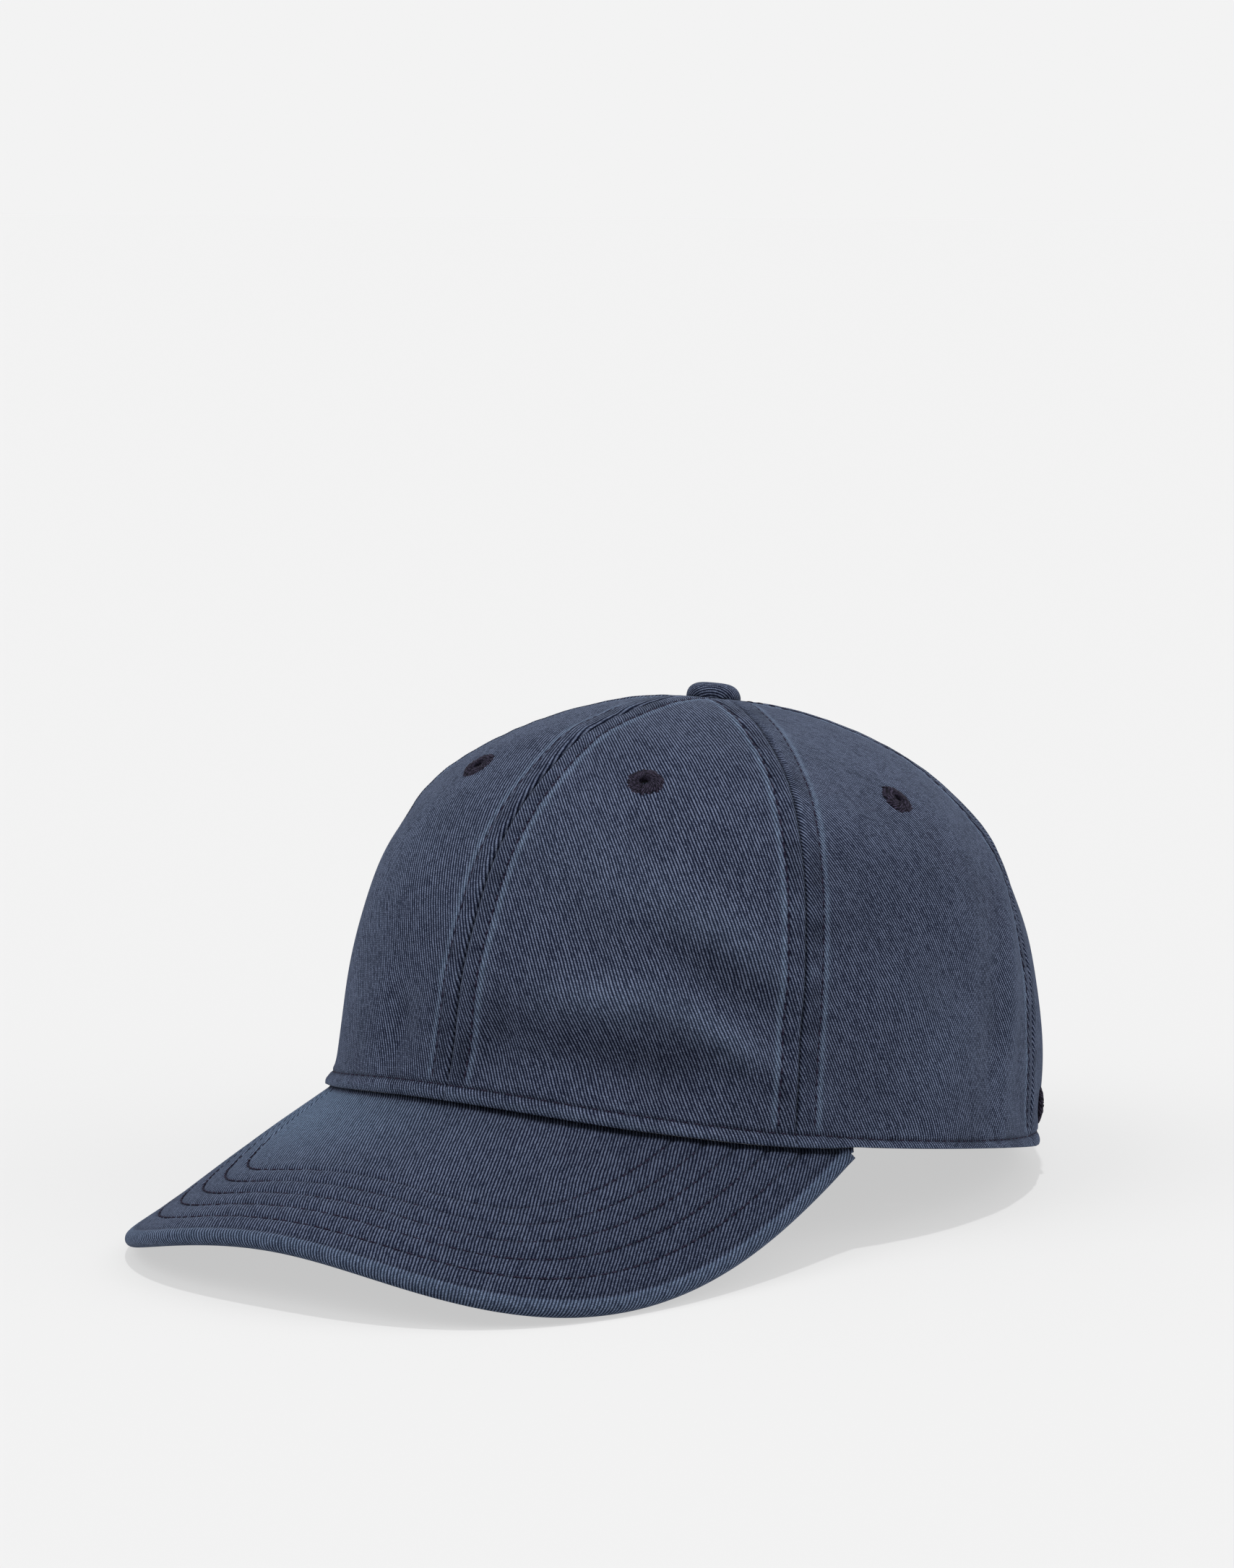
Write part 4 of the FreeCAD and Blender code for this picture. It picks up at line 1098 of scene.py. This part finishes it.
def build_label():
    low, high = 8, 26
    theta, latitude, height, u, depth = band_grid(12, low, high, 61, 37,
                                                  BEFORE_BAND + BAND_THICKNESS + LAYER_GAP)
    edge = np.minimum(np.ptp(u) / 2 - np.abs(u), np.minimum(height - low, high - height))
    thin = 0.12 * (1 - smooth(edge, 0, 0.8)) + 0.1 * bell(edge, 1.6, 0.35)
    # painted shade in the stitched groove round the label
    lined("inner_label", theta, latitude, (-depth, -depth - LABEL_THICKNESS + thin), u, height, 0.0,
          0, "label_cloth", ["sweatband_cloth"], wear_in=-0.35 * bell(edge, 1.6, 0.35))


def build_facing():
    margin = np.linspace(0.0, FACING_WIDTH, 19)
    x, z = arch_outline(margin, 221)
    theta, latitude = rear_point(x, np.maximum(z, 0.7))
    points = crown(theta, latitude)
    u = run_of(points[:, 4])[:, None] + 0 * margin
    v = margin + 0 * u
    thin = 0.15 * (1 - smooth(np.minimum(v, FACING_WIDTH - v), 0, 0.8))
    thin = thin + 0.14 * bell(v, ARCH_STITCH, 0.45)
    # painted shade in the stitch groove
    lined("rear_arch_facing", theta, latitude, (-FABRIC - LAYER_GAP, TAPE_INNER + thin), u, v, 0.78,
          0, "tape_cotton", ["back_panel_left_cloth", "back_panel_right_cloth"],
          wear_in=-0.4 * bell(v, ARCH_STITCH, 0.5))


# ---- Visor ----
def outline(turn, inset=0.0):
    """The visor's outer outline in its flat pattern, for arrays of angles from -90 to 90."""
    def point(angle):
        s, c = np.abs(np.sin(np.radians(angle))), np.abs(np.cos(np.radians(angle)))
        flare = 1 + OUTLINE_FLARE * np.abs(np.sin(np.radians(2 * angle)))
        across = CORNER_ACROSS * s ** (2 / OUTLINE_ACROSS) * flare
        forward = (VISOR_LENGTH - CORNER_FORWARD) * c ** (2 / OUTLINE_FORWARD)
        return np.where(angle < 0, -across, across), CORNER_FORWARD + forward

    x, y = point(turn)
    if inset == 0:
        return x, y
    step = 0.02
    side = np.where(turn < 0, -1, 1)
    x0, y0 = point(side * np.maximum(np.abs(turn) - step, step / 2))
    x1, y1 = point(side * np.minimum(np.abs(turn) + step, 90))
    length = np.hypot(x1 - x0, y1 - y0)
    flat = np.abs(turn) < 1e-6
    return (np.where(flat, 0, x + side * (y1 - y0) / length * inset),
            np.where(flat, y - inset, y - side * (x1 - x0) / length * inset))


def outline_turns(share):
    """Angles round the outline, closer together near its middle."""
    return 90 * np.sign(share) * np.abs(share) ** 1.6


OUTLINE_TURNS = outline_turns(np.linspace(-1, 1, 1201))
OUTLINE_X, OUTLINE_Y = outline(OUTLINE_TURNS)
OUTLINE_RUN = run_of(np.stack([OUTLINE_X, OUTLINE_Y], -1))


def from_outline(across, forward):
    """Distance in from the outline, and how far round it the nearest point is."""
    distance, place = np.empty(across.shape), np.empty(across.shape)
    for k in range(len(across)):
        gaps = np.hypot(across[k][..., None] - OUTLINE_X, forward[k][..., None] - OUTLINE_Y)
        distance[k], place[k] = gaps.min(-1), OUTLINE_RUN[gaps.argmin(-1)]
    return distance, place


def visor_relief(distance, place, row):
    """Relief of the stitch rows and of the folded edge, where the cloth is worn, and painted shade in
    the grooves.
    """
    first, last = VISOR_ROWS[0], VISOR_ROWS[-1]
    inside = smooth(distance, first - 5, first - 1) * (1 - smooth(distance, last + 1, last + 6))
    lift = 0.16 * inside * np.sin(np.pi * (distance - first) / (VISOR_ROWS[1] - first)) ** 2
    wear = 0 * distance
    for number, line in enumerate(VISOR_ROWS):
        pull = ripple(place, 3.4, row + number) * bell(distance, line, 1.6)
        lift = lift - 0.34 * bell(distance, line, 0.5) + 0.07 * pull
        # painted shade in each stitch row's groove, and lighter and darker along its pulls
        wear = wear - 0.5 * bell(distance, line, 0.35) + 0.12 * pull
    lift = lift + 0.28 * bell(distance, 2.3, 1.1) - 0.16 * bell(distance, 4.1, 0.7)
    wear = wear + 0.5 * (1 - smooth(distance, 1.0, 3.2)) + 0.5 * bell(distance, 2.7, 0.5)
    # painted shade in the groove inside the folded edge
    return lift, wear - 0.35 * bell(distance, 4.1, 0.6)


VISOR_COLUMNS, VISOR_DEPTH_ROWS, VISOR_EDGE_ROWS = 351, 117, 16


def visor_grid(inset, tuck):
    """Flat pattern of a cover, from the crown to inset short of the outline."""
    w = np.linspace(-1, 1, VISOR_COLUMNS)
    near = unbent(*rim_plan(w * VISOR_CORNER, tuck))
    far = outline(outline_turns(w), inset)
    v = np.linspace(0, 1, VISOR_DEPTH_ROWS)
    return w, [n[:, None] + (f - n)[:, None] * v for n, f in zip(near, far)]


EDGE_ROLL = VISOR_THICKNESS / 2
COVER_THICKNESS = (VISOR_THICKNESS - BOARD_THICKNESS) / 2
TOP_ROLL_END = math.radians(148)
UNDER_INSET = 1.95


def edge_row(top, t):
    """Insets and depths of the outer and inner face round the edge, and the length of cloth."""
    if top:
        a = TOP_ROLL_END * t
        small = EDGE_ROLL - COVER_THICKNESS
        return (EDGE_ROLL * (1 - math.sin(a)), EDGE_ROLL * (1 - math.cos(a)),
                EDGE_ROLL - small * math.sin(a), EDGE_ROLL - small * math.cos(a), EDGE_ROLL * a)
    a = math.radians(60) * t
    depth = VISOR_THICKNESS - 0.6 * (1 - math.cos(a))
    return UNDER_INSET - 0.55 * math.sin(a), depth, UNDER_INSET + 0.1, depth - 0.55, 0.6 * a


def widened(grid, columns):
    """A grid with more columns of points added at its far edge."""
    return np.concatenate([grid] + [column[:, None] for column in columns], 1)


def build_visor_cover(top):
    w, (across, forward) = visor_grid(*((EDGE_ROLL, FABRIC + 0.1) if top else (UNDER_INSET, VISOR_TUCK)))
    distance, place = from_outline(across, forward)
    lift, wear = visor_relief(distance, place, 2 if top else 8)
    calm = (smooth(w, -1, -0.93) * (1 - smooth(w, 0.93, 1)))[:, None]
    if top:
        # painted shade in the crease under the crown, a painted highlight over the wearer's right, and
        # painted shade over the left
        from_rim = np.hypot(across - across[:, :1], forward - forward[:, :1])
        wear = wear - 0.8 * (1 - smooth(from_rim, 0.2, 0.9)) * calm
        painted_highlight = np.exp(-((across + 46) / 34) ** 2 - ((from_rim - 9) / 22) ** 2)
        painted_shade_left = smooth(across, 15, 60) * smooth(distance, 2, 6)
        wear = wear + 1.1 * painted_highlight - 0.22 * painted_shade_left
    wave = 0.16 * swell(np.stack([across, forward, 0 * across], -1), 45, 21 if top else 22)
    lift = np.minimum((lift + wave * smooth(distance, 2, 12)) * (0.3 + 0.7 * calm), 0.4)
    face = -lift if top else VISOR_THICKNESS + lift
    back = COVER_THICKNESS if top else VISOR_THICKNESS - COVER_THICKNESS

    turns = outline_turns(w)
    rows = [edge_row(top, t) for t in np.linspace(0, 1, VISOR_EDGE_ROWS + 1)[1:]]
    out_x, out_y = (widened(grid, [outline(turns, row[0])[k] for row in rows])
                    for k, grid in enumerate((across, forward)))
    in_x, in_y = (widened(grid, [outline(turns, row[2])[k] for row in rows])
                  for k, grid in enumerate((across, forward)))
    fade = np.maximum(1 - np.arange(1, len(rows) + 1) / 5, 0)
    ones = np.ones((len(w), 1))
    tail = lift[:, -1:] * fade * (-1 if top else 1)
    out_depth = np.concatenate([face, ones * [row[1] for row in rows] + tail], 1)
    in_depth = np.concatenate([back + 0 * across, ones * [row[3] for row in rows]], 1)
    thin = 1 - 0.85 * smooth(np.abs(w), 0.972, 1)[:, None]
    outer, inner = bent(out_x, out_y, out_depth * thin), bent(in_x, in_y, in_depth * thin)
    wears_and_painted_light = np.concatenate([wear, wear[:, -1:] * np.linspace(1, 0.55, len(rows))], 1)

    ahead = np.gradient(np.stack([np.interp(turns, OUTLINE_TURNS, OUTLINE_X),
                                  np.interp(turns, OUTLINE_TURNS, OUTLINE_Y)], -1), axis=0)
    normal = unit(np.stack([-ahead[:, 1], ahead[:, 0]], -1))
    flat_x, flat_y = (widened(grid, [grid[:, -1] + normal[:, k] * row[4] for row in rows])
                      for k, grid in enumerate((across, forward)))
    if top:
        # the seam allowance, turned up inside the crown
        heights = np.array([1.45, 1.2, 0.9, 0.6, 0.3])
        direction = (w * VISOR_CORNER)[:, None]
        latitude = latitude_at_height(direction, heights[None])
        outer = np.concatenate([crown(direction, latitude, -FABRIC - 0.1), outer], 1)
        inner = np.concatenate([crown(direction, latitude, -FABRIC - 0.65), inner], 1)
        flat_x = np.concatenate([flat_x[:, :1] + 0 * heights, flat_x], 1)
        flat_y = np.concatenate([flat_y[:, :1] - heights, flat_y], 1)
        # painted shade over the whole allowance, for the dark gap under the crown's edge
        wears_and_painted_light = np.concatenate([0 * heights - ones, wears_and_painted_light], 1)
    sewn("visor_top_cover" if top else "visor_under_cover", outer, inner, flat_x, flat_y,
         -VISOR_GRAIN if top else VISOR_GRAIN, wears_and_painted_light, "visor_twill", ["visor_board"])


def build_visor_stitches(top):
    runs = []
    for line in VISOR_ROWS:
        x, y = outline(OUTLINE_TURNS, line)
        points = bent(x, y, 0.3 if top else VISOR_THICKNESS - 0.3)
        theta = np.degrees(np.arctan2(points[:, 0], -(points[:, 1] - APEX_Y)))
        plan = np.hypot(points[:, 0], points[:, 1] - APEX_Y)
        good = (from_outline(x, y)[0] > line - 0.08) & (plan > rim_radius(theta) + 0.5)
        good &= np.abs(theta) < VISOR_CORNER
        out = bent(x[good], y[good], 0.0) - bent(x[good], y[good], 1.0)
        runs.append((points[good], out if top else -out))
    stitches("visor_top_stitch_cloth" if top else "visor_under_stitch_cloth", runs,
             sink=0.08)


# ---- Button ----
BUTTON_GATHERS = 28
BUTTON_SQUARENESS = 0.55        # 1 would be a plain dome, and less stands its sides up
COVER_CLOTH = 0.62


def build_button():
    base = CROWN_HEIGHT + 0.1

    def dome(first, last, count, skin):
        """A low round profile, from the first angle to the last, skin in from the outside."""
        a = np.radians(np.linspace(first, last, count))
        return np.stack([(BUTTON_RADIUS - skin) * np.cos(a) ** BUTTON_SQUARENESS,
                         base + (BUTTON_HEIGHT - skin) * np.sin(a)], -1)

    outer, inner = dome(90, 0, 46, 0), dome(14, 90, 22, COVER_CLOTH)
    outer[0, 0] = inner[-1, 0] = 0.03
    foot = np.array([(BUTTON_RADIUS - 0.15, base - 0.12), (BUTTON_RADIUS - 0.7, base - 0.1),
                     (4.9, base), (4.9, base + 0.6)])
    loop = np.vstack([outer, foot, inner])
    run = run_of(loop)
    turn = np.linspace(0, 2 * np.pi, 180, endpoint=False)[:, None]
    gather = np.zeros(len(loop))
    gather[:len(outer)] = smooth(np.linspace(0, 1, len(outer)), 0.55, 1.0)
    gathers = ripple(turn * BUTTON_GATHERS / (2 * np.pi), 1.0, 60)
    radius = loop[:, 0] + gather * (0.10 * gathers + 0.05 * np.sin(turn * 3 + 1))
    points = np.stack([radius * np.sin(turn), APEX_Y - radius * np.cos(turn),
                       loop[:, 1] + 0 * radius], -1)
    cloth = turned(run * np.sin(turn), run * np.cos(turn), math.radians(62))
    # lighter and darker along the gathers, and painted shade on the button's sides
    piece = ring_piece("button_cover_cloth", points, cloth, gather * (0.25 * gathers - 0.4),
                       "crown_twill", "button_cover")


# ---- Strap and loop ----
STRAP_STITCH = 1.8              # in from the strap's edges
STRAP_GROOVE = 0.16             # depth of the stitch lines
LOOP_THICKNESS = 0.7


def on_strap(radius, angle, z):
    """A point at a radius from the strap's axis and an angle from straight behind."""
    turn = np.radians(angle)
    x, y = radius * np.sin(turn), STRAP_AXIS_Y + radius * np.cos(turn)
    return np.stack(np.broadcast_arrays(x, y, z), -1)


def build_strap():
    half = STRAP_HEIGHT / 2
    right = ARCH_EDGE_ANGLE + STRAP_TIGHTEN + STRAP_HIDDEN
    left = ARCH_EDGE_ANGLE + STRAP_LOOSEN + STRAP_HIDDEN
    angle = np.linspace(-right, left, 301)[:, None] + np.zeros((1, 49))
    z = STRAP_MID + np.linspace(-half, half, 49)[None] + 0 * angle
    u, v = np.radians(angle) * STRAP_OUTER, z - STRAP_MID
    edge = half - np.abs(v)
    thin = 0.45 * shoulder(edge, 0.7) + STRAP_GROOVE * bell(edge, STRAP_STITCH, 0.4)
    puff = 0.05 * ripple(u + 0.5 * v, 3.4, 62) * smooth(edge, 0.3, 1.5)
    outer = on_strap(STRAP_OUTER - thin + np.minimum(puff, 0), angle, z)
    inner = on_strap(STRAP_OUTER - STRAP_THICKNESS + thin, angle, z)
    # worn edges, and painted shade in the stitch grooves
    wear = 0.5 * bell(edge, 0.3, 0.6) - 0.5 * bell(edge, STRAP_STITCH, 0.35)
    sewn("strap", outer, inner, u, v, PANEL_GRAIN, wear, "strap_twill", ["buckle_frame"],
         body="strap", wear_in=wear)
    a = angle[2:-2, 0]
    out = on_strap(1.0, a, 0.0) - on_strap(0.0, a, 0.0)
    runs = [(on_strap(face, a, STRAP_MID + side * (half - STRAP_STITCH)), sign * out)
            for face, sign in ((STRAP_OUTER - STRAP_GROOVE, 1),
                               (STRAP_OUTER - STRAP_THICKNESS + STRAP_GROOVE, -1))
            for side in (-1, 1)]
    stitches("strap_stitch", runs, body="strap", sink=0.12)


def loop_path():
    """The loop's middle line in plan: under the strap's side, round the bar and back."""
    def seat(x, y):
        """Buckle coordinates to a point in plan."""
        s, c = math.sin(math.radians(BUCKLE_ANGLE)), math.cos(math.radians(BUCKLE_ANGLE))
        return np.array([(STRAP_RADIUS + y) * s + x * c,
                         STRAP_AXIS_Y + (STRAP_RADIUS + y) * c - x * s])

    bar = seat(BAR_X, BAR_Y)
    wrap = BAR_RADIUS + 0.1 + LOOP_THICKNESS / 2
    bar_angle = math.degrees(math.atan2(bar[0], bar[1] - STRAP_AXIS_Y))
    away = math.radians(bar_angle)
    turns = np.radians(np.linspace(-80, -310, 44))
    along, out = wrap * np.cos(turns), wrap * np.sin(turns)
    circle = bar + np.stack([along * math.cos(away) + out * math.sin(away),
                             -along * math.sin(away) + out * math.cos(away)], -1)
    tail, fold = (on_strap(STRAP_RADIUS + rise, np.linspace(*ends), 0)[:, :2] for rise, ends in (
        (1.5, (ARCH_EDGE_ANGLE + 9, bar_angle + 1.6, 40)),
        (2.42, (bar_angle + 2.6, ARCH_EDGE_ANGLE - 1.3, 16))))
    path = np.vstack([tail, circle, fold])
    for _ in range(3):
        path[1:-1] = path[1:-1] * 0.5 + (path[:-2] + path[2:]) * 0.25
    return path


def build_loop():
    path = loop_path()
    ahead = unit(np.gradient(path, axis=0))
    side = np.stack([ahead[:, 1], -ahead[:, 0]], -1)
    if side[0] @ (path[0] - [0, STRAP_AXIS_Y]) < 0:
        side = -side
    z = np.linspace(-LOOP_HALF_HEIGHT, LOOP_HALF_HEIGHT, 45)
    edge = LOOP_HALF_HEIGHT - np.abs(z)
    half = LOOP_THICKNESS / 2 - 0.25 * shoulder(edge, 0.6) - 0.1 * bell(edge, 1.7, 0.4)

    def face(sign):
        plan = path[:, None] + sign * side[:, None] * half[None, :, None]
        height = np.broadcast_to(STRAP_MID + z, plan.shape[:2])
        return np.concatenate([plan, height[..., None]], -1)

    u = run_of(path)[:, None] + 0 * z
    # worn edges, and painted shade in the stitch grooves
    wear = 0.5 * bell(edge, 0.3, 0.6) - 0.4 * bell(edge, 1.7, 0.35)
    sewn("buckle_loop", face(1), face(-1), u, z + 0 * u, PANEL_GRAIN, wear, "strap_twill",
         ["buckle_frame"], held="folded", wear_in=wear)


# ---- CAD pieces that keep their shape ----
def dress(node, material):
    """Gives a CAD piece its material, and smooth faces between sharp edges."""
    piece = frame["nodes"][node]
    if piece.data.materials:
        for slot_ in piece.material_slots:
            slot_.material = material
    else:
        piece.data.materials.append(material)
    piece.data.shade_smooth()
    piece.data.set_sharp_from_angle(angle=math.radians(35))


# ---- Stage ----
BACKDROP = 0.896
FLOOR_SIZE = 30.0
FLOOR_GLOW, FLOOR_ALBEDO = 0.55, 0.12


def towards(azimuth, elevation):
    """Direction to a lamp or camera that stands at this azimuth and elevation."""
    a, e = math.radians(azimuth), math.radians(elevation)
    return Vector((math.sin(a) * math.cos(e), -math.cos(a) * math.cos(e), math.sin(e)))


def add_sun(name, azimuth, elevation, strength, spread):
    lamp = bpy.data.lights.new(name, "SUN")
    lamp.energy = strength
    lamp.angle = math.radians(spread)
    light = bpy.data.objects.new(name, lamp)
    light.rotation_mode = "QUATERNION"
    light.rotation_quaternion = towards(azimuth, elevation).to_track_quat("Z", "Y")
    bpy.context.scene.collection.objects.link(light)
    return light


def build_world():
    """The same pale tone all round, and brighter overhead."""
    world = bpy.data.worlds.new("studio")
    world.use_nodes = True
    tree = world.node_tree
    direction = add_node(tree, "TexCoord", {}, "Generated")
    upward = add_node(tree, "SeparateXYZ", {0: direction}, "Z")
    tone = add_node(tree, "MapRange", {0: upward, 1: 0.35, 2: 0.95, 3: BACKDROP, 4: 1.3},
                    interpolation_type="SMOOTHSTEP")
    feed(tree, tree.nodes["Background"].inputs["Color"], rgb(1, 1, 1))
    feed(tree, tree.nodes["Background"].inputs["Strength"], tone)
    bpy.context.scene.world = world


def build_floor():
    mesh = bpy.data.meshes.new("floor")
    corners = [(-1, -1), (1, -1), (1, 1), (-1, 1)]
    mesh.from_pydata([(FLOOR_SIZE * x, FLOOR_SIZE * y, 0) for x, y in corners], [], [(0, 1, 2, 3)])
    floor = bpy.data.objects.new("floor", mesh)
    bpy.context.scene.collection.objects.link(floor)
    material = bpy.data.materials.new("floor")
    material.use_nodes = True
    tree = material.node_tree
    tree.nodes.remove(tree.nodes["Principled BSDF"])
    diffuse = add_node(tree, "BsdfDiffuse", {"Color": rgb(*[FLOOR_ALBEDO] * 3)})
    emission = add_node(tree, "Emission", {"Strength": FLOOR_GLOW})
    both = add_node(tree, "AddShader", {0: diffuse, 1: emission})
    feed(tree, tree.nodes["Material Output"].inputs["Surface"], both)
    mesh.materials.append(material)
    return floor


def build_stage():
    """Plain studio light and a pale table."""
    scene = bpy.context.scene
    scene.view_settings.view_transform = "Standard"
    scene.view_settings.look = "None"
    build_world()
    floor_light = 1.28 * BACKDROP
    for name, azimuth, elevation, strength, spread in (("key", -30, 46, 1.9, 40),
                                                       ("side", 118, 30, 1.7, 50)):
        add_sun(name, azimuth, elevation, strength, spread)
        floor_light += strength * math.sin(math.radians(elevation)) / math.pi
    # a lit table: most of its tone is its own light, and the rest takes the cap's shadow from a
    # small lamp straight above that lights the table only
    needed = (BACKDROP - FLOOR_GLOW) / FLOOR_ALBEDO - floor_light
    overhead = add_sun("table_lamp", 0, 90, math.pi * needed, 2.5)
    lit = bpy.data.collections.new("lit_by_table_lamp")
    lit.objects.link(build_floor())
    overhead.light_linking.receiver_collection = lit


CAMERA_AIM = [0, -19.0, 52.1]   # on the level cap, in millimetres
CAMERA_PLACE = (34.56, 9.15)    # azimuth and elevation of the camera, seen from the aim
CAMERA_DISTANCE = 1.1
CAMERA_TURN = (35.14, 7.58)     # azimuth and elevation straight back from the lens


def build_camera():
    """Stands at the cap's front left, and looks a little aside from it."""
    camera = bpy.data.objects.new("camera", bpy.data.cameras.new("camera"))
    camera.data.lens = 102.8
    camera.data.sensor_width = 36.0
    camera.data.clip_start, camera.data.clip_end = 0.05, 100
    camera.location = Vector(to_row(CAMERA_AIM)) + towards(*CAMERA_PLACE) * CAMERA_DISTANCE
    camera.rotation_mode = "QUATERNION"
    away = towards(*CAMERA_TURN)
    azimuth = math.radians(CAMERA_TURN[0])
    right = Vector((math.cos(azimuth), math.sin(azimuth), 0))
    turn = Matrix((right, away.cross(right), away)).transposed()
    camera.rotation_quaternion = turn.to_quaternion()
    bpy.context.scene.collection.objects.link(camera)
    bpy.context.scene.camera = camera


build_stage()
build_camera()
for panel in PANELS:
    for panel_side, panel_sign in SIDES:
        build_panel(panel, panel_side, panel_sign)
build_topstitching()
build_eyelets()
build_tapes()
build_lining()
build_sweatband()
build_label()
build_facing()
for is_top in (True, False):
    build_visor_cover(is_top)
    build_visor_stitches(is_top)
build_button()
build_strap()
build_loop()
for node_name, finish in (("visor_board", BOARD), ("button_shell", STEEL), ("button_tack", STEEL),
                          ("buckle_frame", BRASS), ("buckle_cam", BRASS), ("buckle_pin", BRASS)):
    dress(node_name, finish)
